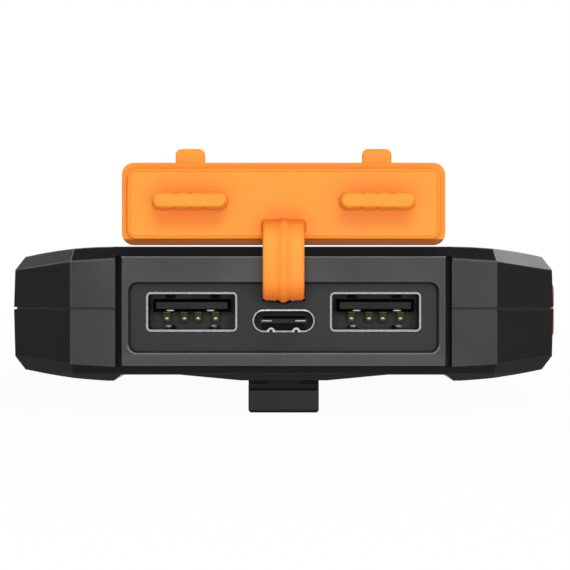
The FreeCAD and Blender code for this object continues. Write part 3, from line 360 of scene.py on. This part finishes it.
# USB sockets
# Folded shells of dull nickel-plated steel round black moulded insulators, soldered to the main board.
# Two stakes are rolled up at the lower lip of the USB-C shell, and a bare steel plate lies in its tongue.
SHELL_STEEL, TOP_RIM_LIT, PLATE_STEEL = (0.14, 0.14, 0.145), (0.24, 0.24, 0.245), (0.27, 0.27, 0.27)
SOCKET_BLACK, SOCKET_SHADE = (0.006, 0.006, 0.006), (0.0004, 0.0004, 0.0004)
LIT_FLOOR_A, LIT_FLOOR_C, LIT_FLOOR_C_ENDS = (0.03, 0.03, 0.028), (0.03, 0.03, 0.03), (0.035, 0.035, 0.035)


def painted_stake_rings(material, stake_x, stake_z, hollow, rim):
    """Two rolled stakes, painted: dark within the hollow's radius of each axis as painted shade, and bright
    out to the rim as a painted highlight.
    """
    tree, surface, place = finish_parts(material)
    at = axes_of(tree, place)
    flat = add_node(tree, "ShaderNodeCombineXYZ", X=worked(tree, "ABSOLUTE", at["X"]), Z=at["Z"])
    off = measured(tree, "DISTANCE", flat.outputs["Vector"], (stake_x, 0.0, stake_z))
    colour = surface.inputs["Base Color"]
    for radius, tone in ((rim, (0.21, 0.21, 0.21)), (hollow, (0.01, 0.01, 0.01))):
        outside = mapped(tree, off, radius - 0.03 * MM, radius + 0.03 * MM)
        feed(tree, colour, blend_colours(tree, outside, tone, colour.links[0].from_socket))


def socket_black(name, mouth_y):
    """A socket's insulator, shaded from 0.08 mm in."""
    material = textured_plastic(name, SOCKET_BLACK, SOCKET_BLACK, 0.38, 3200.0, gloss=0.07)
    toned_past(material, "Y", mouth_y + 0.04 * MM, mouth_y + 0.08 * MM, SOCKET_SHADE)
    return material


shell_steel, c_steel = (turned_metal(name, SHELL_STEEL, 0.42, (2600.0, 60.0, 2600.0))
                        for name in ("plated_steel", "usb_c_steel"))
a_mouth, c_mouth = (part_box(tongue)[0].y for tongue in ("usb_a_tongue_left", "usb_c_tongue"))
a_insulator = socket_black("usb_a_insulator", a_mouth)
# Painted light: 5 mm in, the back of each USB-A socket is painted paler again, as if light reached it.
toned_past(a_insulator, "Y", a_mouth + 4.96 * MM, a_mouth + 5.0 * MM, LIT_FLOOR_A)
for side_name in ("left", "right"):
    dress("usb_a_shell_" + side_name, shell_steel)
    dress("usb_a_tongue_" + side_name, a_insulator)

c_low, c_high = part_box("usb_c_shell")
painted_stake_rings(c_steel, 1.8 * MM, c_low.z + 0.12 * MM, 0.26 * MM, 0.62 * MM)
# Painted highlight: the top 0.3 mm of the USB-C shell, its upper rim, is painted a paler steel, as if lit
# from above.
toned_past(c_steel, "Z", c_high.z - 0.3 * MM, c_high.z - 0.24 * MM, TOP_RIM_LIT)
dress("usb_c_shell", c_steel)
dress("usb_c_plate", turned_metal("bare_steel", PLATE_STEEL, 0.5))

c_insulator = socket_black("usb_c_insulator", c_mouth)
tongue_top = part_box("usb_c_plate")[1].z + 0.1 * MM
matt_beyond(c_insulator, "Y", c_mouth + 0.08 * MM, 0.52)
matt_beyond(c_insulator, "Z", tongue_top, 0.8)
# Painted shade and light in the USB-C socket: just above the tongue a band of painted shade, and beyond it
# the back and its ends painted paler, as if light reached them.
toned_past(c_insulator, "Z", tongue_top, tongue_top + 0.06 * MM, SOCKET_SHADE)
toned_past(c_insulator, "Z", tongue_top + 0.42 * MM, tongue_top + 0.48 * MM, LIT_FLOOR_C)
toned_past(c_insulator, "X", 2.9 * MM, 3.6 * MM, LIT_FLOOR_C_ENDS, both_ways=True)
dress("usb_c_tongue", c_insulator)


# USB-A contacts
# Four olive bronze springs moulded in under each tongue, bowed down to meet the plug, with a gilt pimple at
# the lowest of each. Small pale spots of half-bare steel are painted highlights: one by the bend of each
# outer contact and one on the crest of each steel floor spring.
CONTACT_PITCHES = (-3.55 * MM, -1.0 * MM, 1.0 * MM, 3.55 * MM)
SPRING_START, SPRING_RUN, SPRING_DIP, SPRING_TIP = 4.8 * MM, 3.3 * MM, 1.4 * MM, 0.12 * MM
PIMPLE, CREST, TIP = np.array([(0.42, 0.24, 0.3), (0.5, 0.3, 0.34), (0.6, 0.16, 0.12)]) * MM
PIMPLE_IN, CREST_IN, TIP_IN = 5.78 * MM, 6.3 * MM, 1.0 * MM


def rounded_outline(half_u, half_v, radius, steps=10):
    """A rounded rectangle: quarter circles of the radius about four corner centres, joined by straights."""
    quarter = np.linspace(0.0, math.pi / 2, steps)
    turn = (quarter[None, :] + np.arange(4)[:, None] * math.pi / 2).ravel()
    side_u = np.repeat([1, -1, -1, 1], steps) * (half_u - radius)
    side_v = np.repeat([1, 1, -1, -1], steps) * (half_v - radius)
    return np.stack([side_u + radius * np.cos(turn), side_v + radius * np.sin(turn)], 1)


def skin(rings):
    """A closed skin: point j of ring i joins its neighbours in a quad, and a flat face closes each end.

    Quads and ends are turned over if the quads look inward on the whole.
    """
    count, around = rings.shape[:2]
    i, j = np.meshgrid(np.arange(count - 1), np.arange(around), indexing="ij")
    k = (j + 1) % around
    quads = np.stack([i * around + j, i * around + k, (i + 1) * around + k, (i + 1) * around + j], -1)
    quads = quads.reshape(-1, 4)
    ends = np.stack([np.arange(around)[::-1], np.arange(around) + (count - 1) * around])
    points = rings.reshape(-1, 3)
    a, b, c = points[quads[:, 0]], points[quads[:, 1]], points[quads[:, 2]]
    middles = np.repeat(rings.mean(1)[:-1], around, 0)
    outward = np.einsum("ij,ij->i", np.cross(b - a, c - a), a - middles).sum()
    turn = -1 if outward < 0 else 1
    return points, quads[:, ::turn], ends[:, ::turn]


def placed(name, content):
    """A new object in the scene, at the origin."""
    made = bpy.data.objects.new(name, content)
    bpy.context.scene.collection.objects.link(made)
    return made


def moulding(name, skins, finish, smooth=35.0):
    """One mesh object made of several closed skins."""
    points, faces, start = [], [], 0
    for skin_points, quads, ends in skins:
        points.append(skin_points)
        faces += (quads + start).tolist() + (ends + start).tolist()
        start += len(skin_points)
    mesh = bpy.data.meshes.new(name)
    mesh.from_pydata(np.concatenate(points).tolist(), [], faces)
    mesh.polygons.foreach_set("use_smooth", np.ones(len(mesh.polygons), bool))
    mesh.set_sharp_from_angle(angle=math.radians(smooth))
    mesh.materials.append(finish)
    return placed(name, mesh)


def carried(path, sections):
    """Rings of one section, or of one for each station, carried along a path in Y and Z.

    A section gives offsets across (X) and away from the path, on the left of its direction of travel.
    """
    step = np.gradient(path, axis=0)
    step /= np.linalg.norm(step, axis=1)[:, None]
    sections = np.broadcast_to(sections, (len(path), *sections.shape[-2:]))
    across, away = sections[..., 0], sections[..., 1]
    return np.stack([across, path[:, :1] - step[:, 1:] * away, path[:, 1:] + step[:, :1] * away], -1)


def contact_skins(centre_x, tongue_low, mouth_y):
    """Four springs whose height below the tongue is the dip times sin squared, but for a short level tip."""
    along = np.linspace(0.0, 1.0, 28)
    low = np.maximum(SPRING_DIP * np.sin(math.pi * along) ** 2, SPRING_TIP * (along > 0.5))
    path = np.stack([mouth_y + SPRING_START + SPRING_RUN * along, tongue_low - 0.1 * MM - low], 1)
    spring = carried(path, rounded_outline(0.5 * MM, 0.1 * MM, 0.06 * MM, 4))
    return [skin(spring + np.array([centre_x + pitch, 0.0, 0.0])) for pitch in CONTACT_PITCHES]


def ball(centre, radii):
    """A ball stretched by three radii: rings at equal steps of its polar angle about Y."""
    polar = np.linspace(0.02, math.pi - 0.02, 12)[:, None]
    turn = np.linspace(0, 2 * math.pi, 20, endpoint=False)[None, :]
    rings = [np.sin(polar) * np.cos(turn), -np.cos(polar) * np.ones_like(turn), np.sin(polar) * np.sin(turn)]
    return skin(np.stack(rings, -1) * radii + np.array(centre))


gilt = turned_metal("gilt_contacts", (1.0, 0.94, 0.68), 0.55)
bronze = turned_metal("olive_bronze", (0.16, 0.155, 0.07), 0.5, bare=0.4)
springs, pimples, highlight_balls = [], [], []
for tongue in ("usb_a_tongue_left", "usb_a_tongue_right"):
    low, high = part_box(tongue)
    mouth_y = low.y - 0.8 * MM
    tongue_low = (low.z + high.z) / 2 - 0.01 * MM
    middle = (low.x + high.x) / 2 + math.copysign(0.2 * MM, low.x)
    springs += contact_skins(middle, tongue_low, mouth_y)
    pimples += [ball((middle + pitch, mouth_y + PIMPLE_IN, tongue_low - 0.92 * MM), PIMPLE)
                for pitch in CONTACT_PITCHES]
    for side in (-1, 1):
        highlight_balls.append(ball((middle + side * 3.3 * MM, mouth_y + CREST_IN, low.z + 0.36 * MM), CREST))
        highlight_balls.append(ball((middle + side * 2.9 * MM, mouth_y + TIP_IN, tongue_low + 0.2 * MM), TIP))
for piece in (moulding("contact_springs", springs, bronze), moulding("contact_pimples", pimples, gilt)):
    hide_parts("usb_a_contacts")
    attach(piece, "case")
# Half-bare pale steel, so that these spots show as painted highlights.
painted_highlight_spots = moulding("painted_highlight_spots", highlight_balls, turned_metal("highlight_steel", (0.5, 0.5, 0.48), 0.65, bare=0.5))
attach(painted_highlight_spots, "case")


# Port cover
# One soft silicone moulding on a strap, flipped up with its inner side to the front: a thin flange, a raised
# plateau that fills the recess, a ribbed plug for each USB-A socket and two pull tabs.
SILICONE, SILICONE_SHADE, SILICONE_SHADOW = (0.96, 0.31, 0.033), (0.78, 0.175, 0.014), (0.32, 0.085, 0.01)
COVER_BACK_Y, FLANGE_Y, PLATEAU_Y = -83.6 * MM, -84.8 * MM, -86.4 * MM
PLUG_TIP_Y, TAB_FRONT_Y = -90.95 * MM, -84.6 * MM
PLUG_X, TAB_X = 13.18 * MM, 13.2 * MM
COVER_Z, PLUG_Z, TAB_Z = 25.19 * MM, 25.55 * MM, 31.13 * MM
FLANGE_SIZE, FLANGE_EDGE = (22.9 * MM, 5.84 * MM, 1.7 * MM), 0.3 * MM
PLATEAU_SIZE, PLATEAU_EDGE = (22.05 * MM, 4.95 * MM, 1.3 * MM), 0.28 * MM
TAB_SIZE, TAB_EDGE = (2.1 * MM, 1.85 * MM, 0.9 * MM), 0.25 * MM


def orange_silicone(name, tone, closed, shade_attribute=None):
    """Satin silicone: light sinks a little way in, a faint cloud, and painted shade in a deeper orange down
    in its corners.

    The painted shade is full where the openness is closed. Where the named attribute is 1, the painted shade
    shows too.
    """
    material, tree, surface, place = blank_finish(name)
    cloud = speckle(tree, place, 120.0)
    colour = clouded(tree, cloud, shade_of(tone, 0.95), tone)
    if shade_attribute:
        bend_shade = tree.nodes.new("ShaderNodeAttribute")
        bend_shade.attribute_name = shade_attribute
        colour = blend_colours(tree, bend_shade.outputs["Fac"], colour, SILICONE_SHADE)
    free = openness(tree, 3.5 * MM, closed, 0.97)
    feed(tree, surface.inputs["Base Color"], blend_colours(tree, free, SILICONE_SHADE, colour))
    feed(tree, surface.inputs["Roughness"], spread(tree, cloud, 0.46, 0.54))
    surface.inputs["Subsurface Weight"].default_value = 0.25
    surface.inputs["Subsurface Radius"].default_value = (1.0, 0.35, 0.1)
    surface.inputs["Subsurface Scale"].default_value = 0.8 * MM
    surface.inputs["Specular IOR Level"].default_value = 0.16
    pitted(tree, surface, speckle(tree, place, 2800.0), 0.2, 0.01 * MM)
    return material


def facing_ring(outline, centre_x, y, centre_z):
    """An outline set upright at one depth, facing the front."""
    return np.stack([centre_x + outline[:, 0], np.full(len(outline), y), centre_z + outline[:, 1]], 1)


def rounding(depth_from, depth_to, edge, steps=5):
    """Stations over a rounded rim: the inset runs as edge (1 - cos a) while the depth runs as edge sin a."""
    a = np.linspace(0.0, math.pi / 2, steps)
    way = 1.0 if depth_to > depth_from else -1.0
    return [(edge * (1 - math.cos(t)), depth_to - way * edge * (1 - math.sin(t))) for t in a]


def facing_pad(centre_x, centre_z, size, stations):
    """A pad facing the front: a rounded rectangle in X and Z, inset and set along Y at each station.

    Its size is half its width, half its height and the radius of its corners.
    """
    half_w, half_h, corner = size
    rings = []
    for inset, y in stations:
        outline = rounded_outline(half_w - inset, half_h - inset, max(corner - inset, 0.05 * MM))
        rings.append(facing_ring(outline, centre_x, y, centre_z))
    return skin(np.array(rings))


def plug_bar(centre_x, centre_z, y_root, y_tip):
    """A ribbed plug: a full-round bar with a plain, slimmer tip, whose broad sides dip at three grooves.

    Each groove is a raised cosine; ribbed is its share, 1 along the bar and 0 at the tip.
    """
    half_l, half_h, slimmer = 5.22 * MM, 1.1 * MM, 0.19 * MM
    dip, wide, groove_gap = 0.2 * MM, 1.0 * MM, 2.1 * MM

    def ring(inset, y, ribbed):
        h, l = half_h - inset, half_l - inset
        x = np.linspace(l - h, h - l, 61)
        dips = np.zeros_like(x)
        for middle in (-groove_gap, 0.0, groove_gap):
            near = np.clip(np.abs(x - middle) / (wide / 2), 0, 1)
            dips += ribbed * dip * 0.5 * (1 + np.cos(math.pi * near))
        a = np.linspace(math.pi / 2, 3 * math.pi / 2, 13)[1:-1]
        top = np.stack([x, h - dips], 1)
        left = np.stack([h - l + h * np.cos(a), h * np.sin(a)], 1)
        return facing_ring(np.concatenate([top, left, -top, -left]), centre_x, y, centre_z)

    stations = [(-0.25 * MM, y_root + 0.02 * MM, 1.0), (-0.1 * MM, y_root - 0.12 * MM, 1.0),
                (0.0, y_root - 0.4 * MM, 1.0), (0.0, y_tip + 1.0 * MM, 1.0),
                (0.08 * MM, y_tip + 0.8 * MM, 0.8), (slimmer, y_tip + 0.65 * MM, 0.0)]
    stations += [(slimmer + inset, y, 0.0) for inset, y in rounding(y_root, y_tip, 0.25 * MM)]
    return skin(np.array([ring(*station) for station in stations]))


silicone = orange_silicone("orange_silicone", SILICONE, 0.36)
# Painted shadow: below 20.2 mm the silicone is painted dark brown, the plateau's shadow on the flange's lower
# band. The side socket's cap and neck, which share this finish, take it too where they lie below that level.
toned_past(silicone, "Z", 20.25 * MM, 20.15 * MM, SILICONE_SHADOW)
flange_rim, tab_rim = (rounding(front_y, COVER_BACK_Y, edge)[::-1] + rounding(COVER_BACK_Y, front_y, edge)
                       for front_y, edge in ((FLANGE_Y, FLANGE_EDGE), (TAB_FRONT_Y, TAB_EDGE)))
plateau_foot = [(-0.15 * MM, FLANGE_Y + 0.1 * MM), (-0.12 * MM, FLANGE_Y - 0.02 * MM),
                (0.0, FLANGE_Y - 0.15 * MM)]
plateau_moat = [(0.34 * MM, PLATEAU_Y + 0.07 * MM), (0.4 * MM, PLATEAU_Y + 0.07 * MM), (0.48 * MM, PLATEAU_Y)]
plateau_rim = plateau_foot + rounding(FLANGE_Y, PLATEAU_Y, PLATEAU_EDGE) + plateau_moat
cover_skins = [facing_pad(0.0, COVER_Z, FLANGE_SIZE, flange_rim),
               facing_pad(0.0, COVER_Z, PLATEAU_SIZE, plateau_rim)]
for side in (1, -1):
    cover_skins.append(facing_pad(side * TAB_X, TAB_Z, TAB_SIZE, tab_rim))
    cover_skins.append(plug_bar(side * PLUG_X, PLUG_Z, PLATEAU_Y, PLUG_TIP_Y))
port_cover = moulding("port_cover_silicone", cover_skins, silicone)
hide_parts("port_cover")
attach(port_cover, "port_cover")


# Cover strap
# The cover's tether, moulded with it: a flat band with a bead down its outer face, looped forward from a slot
# above the middle socket and up to the plateau, where it swells into its root.
STRAP_FRONT_Y, STRAP_END_Y = -91.25 * MM, -74.8 * MM
SLOT_Z, LOOP_TOP_Z, LOOP_BEND = 12.3 * MM, 21.96 * MM, 2.2 * MM
BAND_HALF_W, BAND_HALF_T, BAND_EDGE = 2.92 * MM, 0.75 * MM, 0.5 * MM
BEAD_HALF_W, BEAD_RISE = 0.75 * MM, 0.33 * MM
GROOVE_X, GROOVE_WIDTH, GROOVE_DEPTH = 0.9 * MM, 0.16 * MM, 0.07 * MM
ROOT_RUN = 1.1 * MM


def strap_path():
    """Centre line in Y and Z: straight out of the slot, a quarter turn up, straight, a quarter turn back."""
    turn_y, turn_low, turn_high = STRAP_FRONT_Y + LOOP_BEND, SLOT_Z + LOOP_BEND, LOOP_TOP_Z - LOOP_BEND
    quarter = np.linspace(0, math.pi / 2, 12)[1:-1]
    across, along = LOOP_BEND * np.sin(quarter), LOOP_BEND * np.cos(quarter)
    out = np.stack([np.linspace(STRAP_END_Y, turn_y, 18), np.full(18, SLOT_Z)], 1)
    low = np.stack([turn_y - across, turn_low - along], 1)
    rise = np.stack([np.full(14, STRAP_FRONT_Y), np.linspace(turn_low, turn_high, 14)], 1)
    high = np.stack([turn_y - along, turn_high + across], 1)
    back = np.stack([np.linspace(turn_y, PLATEAU_Y + 0.1 * MM, 26), np.full(26, LOOP_TOP_Z)], 1)
    return np.concatenate([out, low, rise, high, back])


def strap_section(swell):
    """Across and outward offsets round the band: rounded edges, and a bead that rises as a power of a cosine.

    A groove either side of the bead falls as a bell curve. Both the band and its edges grow with the swell.
    """
    half_w, half_t = BAND_HALF_W + 0.5 * MM * swell, BAND_HALF_T + 0.55 * MM * swell
    edge = BAND_EDGE + 0.3 * MM * swell
    outline = rounded_outline(half_w, half_t, edge, 6)
    face = np.linspace(half_w - edge, edge - half_w, 61)[1:-1]
    near = np.clip(np.abs(face) / BEAD_HALF_W, 0, 1)
    groove = GROOVE_DEPTH * np.exp(-((np.abs(face) - GROOVE_X) / GROOVE_WIDTH) ** 2)
    bead = BEAD_RISE * np.cos(math.pi / 2 * near) ** 1.3 * (1 - swell) - groove
    outer = np.stack([face, half_t + bead], 1)
    return np.concatenate([outline[:6], outer, outline[6:]])


def root_swell(path):
    """The swell at each station: it grows as the edge of a quarter circle over the strap's last bit."""
    run = np.concatenate([[0], np.cumsum(np.linalg.norm(np.diff(path, axis=0), axis=1))])
    near = np.clip(1 - (run[-1] - run) / ROOT_RUN, 0, 1)
    return 1 - np.sqrt(1 - near ** 2)


# Painted shade: the strap is painted a deeper orange at its bends and towards its lower end.
def painted_shade_share(path):
    """How much painted shade, in a deeper orange, each station gets: more with the turn out of the upright
    and lower down.
    """
    step = np.gradient(path, axis=0)
    turn = np.arccos(np.clip(np.abs(step[:, 1]) / np.linalg.norm(step, axis=1), 0, 1)) / (math.pi / 2)
    fallen = np.clip((LOOP_TOP_Z - path[:, 1]) / (LOOP_TOP_Z - SLOT_Z), 0, 1)
    return np.clip(0.85 * turn + 0.45 * fallen, 0, 1)


path = strap_path()
rings = carried(path, np.array([strap_section(swell) for swell in root_swell(path)]))
strap_finish = orange_silicone("strap_silicone", (0.97, 0.35, 0.046), 0.25, "painted_shade")
strap = moulding("cover_strap_silicone", [skin(rings)], strap_finish, 50.0)
painted_shade = strap.data.attributes.new("painted_shade", "FLOAT", "POINT")
painted_shade.data.foreach_set("value", np.repeat(painted_shade_share(path), rings.shape[1]))
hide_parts("cover_strap")
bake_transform(strap)


# Jump socket
# A keyed plastic body in the right-hand side with two gilt sleeves for the lead's bullet plugs, joined by
# copper bars to the main board.
keyed_blue = textured_plastic("socket_blue", (0.02, 0.07, 0.32), (0.04, 0.12, 0.45), 0.35, 3000.0)
dress("jump_socket_body", keyed_blue)
dress("jump_terminals", gilt)
dress("bus_bars", turned_metal("copper_bar", (0.8, 0.42, 0.26), 0.3))


# Jump socket cover
# A silicone cap over the side socket with a raised finger pad, a moulded line across it level with the seam,
# a pull tab at its front end, and a thin neck to an anchor held between the shells.
NECK_X, ANCHOR_X, NECK_Z = 39.55 * MM, 38.4 * MM, 10.35 * MM
NECK_HALF_T, NECK_HALF_H, ANCHOR_HALF_H, NECK_EDGE = 0.24 * MM, 2.48 * MM, 2.45 * MM, 0.15 * MM


def bar_along(outline, centre_x, centre_z, stations):
    """A bar along Y: one outline in X and Z, repeated at each station."""
    return skin(np.array([facing_ring(outline, centre_x, y, centre_z) for y in stations]))


soften(dress("jump_cover", silicone), 0.1 * MM)
band_outline = rounded_outline(NECK_HALF_T, NECK_HALF_H, NECK_EDGE, 4)
neck_band = bar_along(band_outline, NECK_X, NECK_Z, np.linspace(-30.6 * MM, -24.8 * MM, 24))
block_outline = rounded_outline(1.62 * MM, ANCHOR_HALF_H, NECK_EDGE, 4) * np.array([0.55, 1.0])
anchor_block = bar_along(block_outline, ANCHOR_X, NECK_Z, (-27.95 * MM, -24.65 * MM))
neck = moulding("jump_neck_silicone", [neck_band, anchor_block], silicone)
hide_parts("jump_cover_neck")
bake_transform(neck)


# Power button and display
# A dished button moulded in gloss-black plastic, which presses the tact switch under it, and a smoked window
# set into the top wall over the display.
def polished_plastic(name, tone, roughness):
    """Gloss plastic with a barely wavy skin and a few faint smears in its gloss."""
    material, tree, surface, place = blank_finish(name)
    smear = speckle(tree, place, 90.0, 3.0)
    feed(tree, surface.inputs["Base Color"], clouded(tree, smear, tone, shade_of(tone, 1.15)))
    feed(tree, surface.inputs["Roughness"], spread(tree, smear, roughness, roughness + 0.07))
    pitted(tree, surface, speckle(tree, place, 150.0), 0.1, 0.02 * MM)
    return material


soften(dress("power_button", polished_plastic("button_gloss", (0.03, 0.03, 0.032), 0.2)), 0.08 * MM)
dress("button_switch", textured_plastic("switch_black", (0.02, 0.02, 0.02), (0.04, 0.04, 0.04), 0.5))
dress("display_window", polished_plastic("smoked_window", (0.008, 0.008, 0.01), 0.08))
dress("display_module", polished_plastic("display_black", (0.02, 0.02, 0.024), 0.25))


# Boards
# Green glass-fibre boards with a solder mask. The main one lies on pillars of the lower shell and carries the
# tall parts and the white spacers, and these carry the display's own board.
def solder_mask(name):
    """Green lacquer over a weave, with copper fills showing as paler patches."""
    material, tree, surface, place = blank_finish(name)
    fills = add_node(tree, "ShaderNodeTexVoronoi", Vector=place, Scale=260.0).outputs["Distance"]
    lacquer = blend_colours(tree, fills, (0.012, 0.09, 0.04), (0.02, 0.16, 0.07))
    feed(tree, surface.inputs["Base Color"], lacquer)
    surface.inputs["Roughness"].default_value = 0.35
    pitted(tree, surface, fills, 0.2, 0.03 * MM)
    return material


board_finish = solder_mask("board_green")
dress("main_board", board_finish)
dress("display_board", board_finish)
dress("display_posts", textured_plastic("spacer_white", (0.6, 0.6, 0.57), (0.7, 0.7, 0.68), 0.5))
dress("board_components", textured_plastic("component_black", (0.03, 0.03, 0.03), (0.07, 0.07, 0.07), 0.45))


# Battery
# Four foil pouch cells in a stack, with nickel tabs at their front folded together in pairs. Foam sheets hold
# the stack between the shells.
def crinkled_foil(name):
    """Laminated foil, gently crinkled."""
    material, tree, surface, place = blank_finish(name)
    crinkle = speckle(tree, place, 220.0, 5.0, 0.6)
    feed(tree, surface.inputs["Base Color"], clouded(tree, crinkle, (0.6, 0.61, 0.63), (0.75, 0.76, 0.78)))
    surface.inputs["Metallic"].default_value = 1.0
    surface.inputs["Roughness"].default_value = 0.4
    pitted(tree, surface, crinkle, 0.5, 0.1 * MM)
    return material


dress("battery_cells", crinkled_foil("pouch_foil"))
dress("cell_tabs", turned_metal("tab_nickel", (0.66, 0.64, 0.6), 0.3))
dress("cell_pads", soft_rubber("foam_grey", (0.06, 0.06, 0.06), 0.95))


# Lamp
# A clear lens in the rear panel over two silvered cups, each with a small yellow-faced diode, on an
# aluminium-backed board.
def clear_lens(name):
    """Clear plastic with faint upright flutes."""
    material, tree, surface, place = blank_finish(name)
    flutes = add_node(tree, "ShaderNodeTexWave", Vector=place, Scale=260.0, Distortion=0.0)
    surface.inputs["Base Color"].default_value = (0.93, 0.95, 0.96, 1.0)
    surface.inputs["Transmission Weight"].default_value = 0.9
    surface.inputs["Roughness"].default_value = 0.06
    surface.inputs["IOR"].default_value = 1.49
    pitted(tree, surface, flutes.outputs["Fac"], 0.25, 0.15 * MM)
    return material


dress("lamp_lens", clear_lens("lens_clear"))
dress("lamp_reflector", turned_metal("reflector_silver", (0.85, 0.85, 0.86), 0.08))
dress("lamp_board", textured_plastic("lamp_board_white", (0.7, 0.7, 0.7), (0.8, 0.8, 0.8), 0.4))
dress("lamp_leds", polished_plastic("diode_yellow", (0.75, 0.6, 0.12), 0.3))


# Prop foot
# A small plain leg, moulded in a duller black plastic. It turns on a steel pin and folds out of a pocket in
# the spine under the case.
foot_finish = textured_plastic("foot_plastic", (0.01, 0.01, 0.0105), (0.025, 0.025, 0.026), 0.36, 1800.0)
matt_beyond(foot_finish, "Z", -1.5 * MM, 0.55)
soften(dress("prop_foot", foot_finish), 0.1 * MM)
dress("foot_pin", shell_steel)


# Floor, light and camera
# A pale floor that the foot and the rear rails stand on, large soft lamps, and a long lens level with the
# sockets. Floor and backdrop show as white, and the floor keeps a little of the shadow.
WHITE, LAMP_AIM = (1.0, 1.0, 1.0), np.array([0.0, -0.08, 0.01])


def pale_floor():
    """A flat sheet that touches the foot's tip and the rear of the rails."""
    foot_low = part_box("prop_foot")[0]
    rear_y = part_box("lower_shell")[1].y
    slope = -foot_low.z / (rear_y - foot_low.y)
    side = np.linspace(-1.6, 1.6, 5)
    x, y = np.meshgrid(side, side, indexing="ij")
    z = foot_low.z + slope * (y - foot_low.y) - 0.05 * MM
    i, j = np.meshgrid(np.arange(4), np.arange(4), indexing="ij")
    faces = np.stack([i * 5 + j, (i + 1) * 5 + j, (i + 1) * 5 + j + 1, i * 5 + j + 1], -1)
    mesh = bpy.data.meshes.new("pale_floor")
    mesh.from_pydata(np.stack([x, y, z], -1).reshape(-1, 3).tolist(), [], faces.reshape(-1, 4).tolist())
    return placed("pale_floor", mesh)


def shown_rays(tree):
    """1 for rays that see the backdrop directly, in gloss or through glass."""
    path = tree.nodes.new("ShaderNodeLightPath").outputs
    second_hand = worked(tree, "MAXIMUM", path["Is Glossy Ray"], path["Is Transmission Ray"])
    return worked(tree, "MAXIMUM", path["Is Camera Ray"], second_hand)


def two_shaders(tree, share, first, second, output):
    """Ends a tree in two shaders, mixed by the share of the second."""
    mix = add_node(tree, "ShaderNodeMixShader", Fac=share)
    tree.links.new(first.outputs[0], mix.inputs[1])
    tree.links.new(second.outputs[0], mix.inputs[2])
    tree.links.new(mix.outputs["Shader"], tree.nodes.new(output).inputs["Surface"])


def floor_finish():
    """Matt white that keeps a soft part of the object's shadow near it, and is plain white far off."""
    material = bpy.data.materials.new("floor_white")
    material.use_nodes = True
    tree = material.node_tree
    tree.nodes.clear()
    matt = add_node(tree, "ShaderNodeBsdfDiffuse", Color=(0.82, 0.82, 0.82))
    glow = add_node(tree, "ShaderNodeEmission", Color=WHITE, Strength=1.0)
    place = tree.nodes.new("ShaderNodeTexCoord").outputs["Object"]
    fade = mapped(tree, measured(tree, "LENGTH", place), 0.1, 0.4, 0.965, 1.0)
    white_share = worked(tree, "MULTIPLY", shown_rays(tree), fade)
    two_shaders(tree, white_share, matt, glow, "ShaderNodeOutputMaterial")
    return material


def soft_lamp(name, place, size, watts):
    """A soft lamp, so wide and so high, that looks at the port end."""
    light = bpy.data.lights.new(name, "AREA")
    light.shape = "RECTANGLE"
    light.size, light.size_y = size
    light.energy = watts
    lamp = placed(name, light)
    lamp.location = place
    back = np.array(place) - LAMP_AIM
    flat = math.hypot(back[0], back[1])
    lamp.rotation_euler = (math.atan2(flat, back[2]), 0.0, math.atan2(back[0], -back[1]))


floor = pale_floor()
floor.data.materials.append(floor_finish())

world = bpy.data.worlds.new("studio")
world.use_nodes = True
bpy.context.scene.world = world
sky = world.node_tree
sky.nodes.clear()
fill = add_node(sky, "ShaderNodeBackground", Color=WHITE, Strength=0.3)
seen = add_node(sky, "ShaderNodeBackground", Color=WHITE, Strength=1.0)
two_shaders(sky, shown_rays(sky), fill, seen, "ShaderNodeOutputWorld")

soft_lamp("lamp_front", (0.04, -1.3, 0.055), (0.42, 0.18), 6.5)
soft_lamp("lamp_upper", (0.12, -1.15, 0.75), (0.6, 0.36), 6.6)
soft_lamp("lamp_right", (0.74, 0.3, 0.6), (0.3, 0.3), 4.6)
soft_lamp("lamp_left", (-0.74, 0.3, 0.6), (0.45, 0.45), 1.3)

lens = bpy.data.cameras.new("front_camera")
lens.sensor_width = 36.0
lens.lens = 221.0
lens.clip_start = 0.01
lens.clip_end = 20.0
camera = placed("front_camera", lens)
camera.location = (0.2 * MM, -580.0 * MM, 13.71 * MM)
camera.rotation_euler = (math.pi / 2, 0.0, 0.0)
bpy.context.scene.camera = camera
bpy.context.scene.view_settings.view_transform = "Standard"
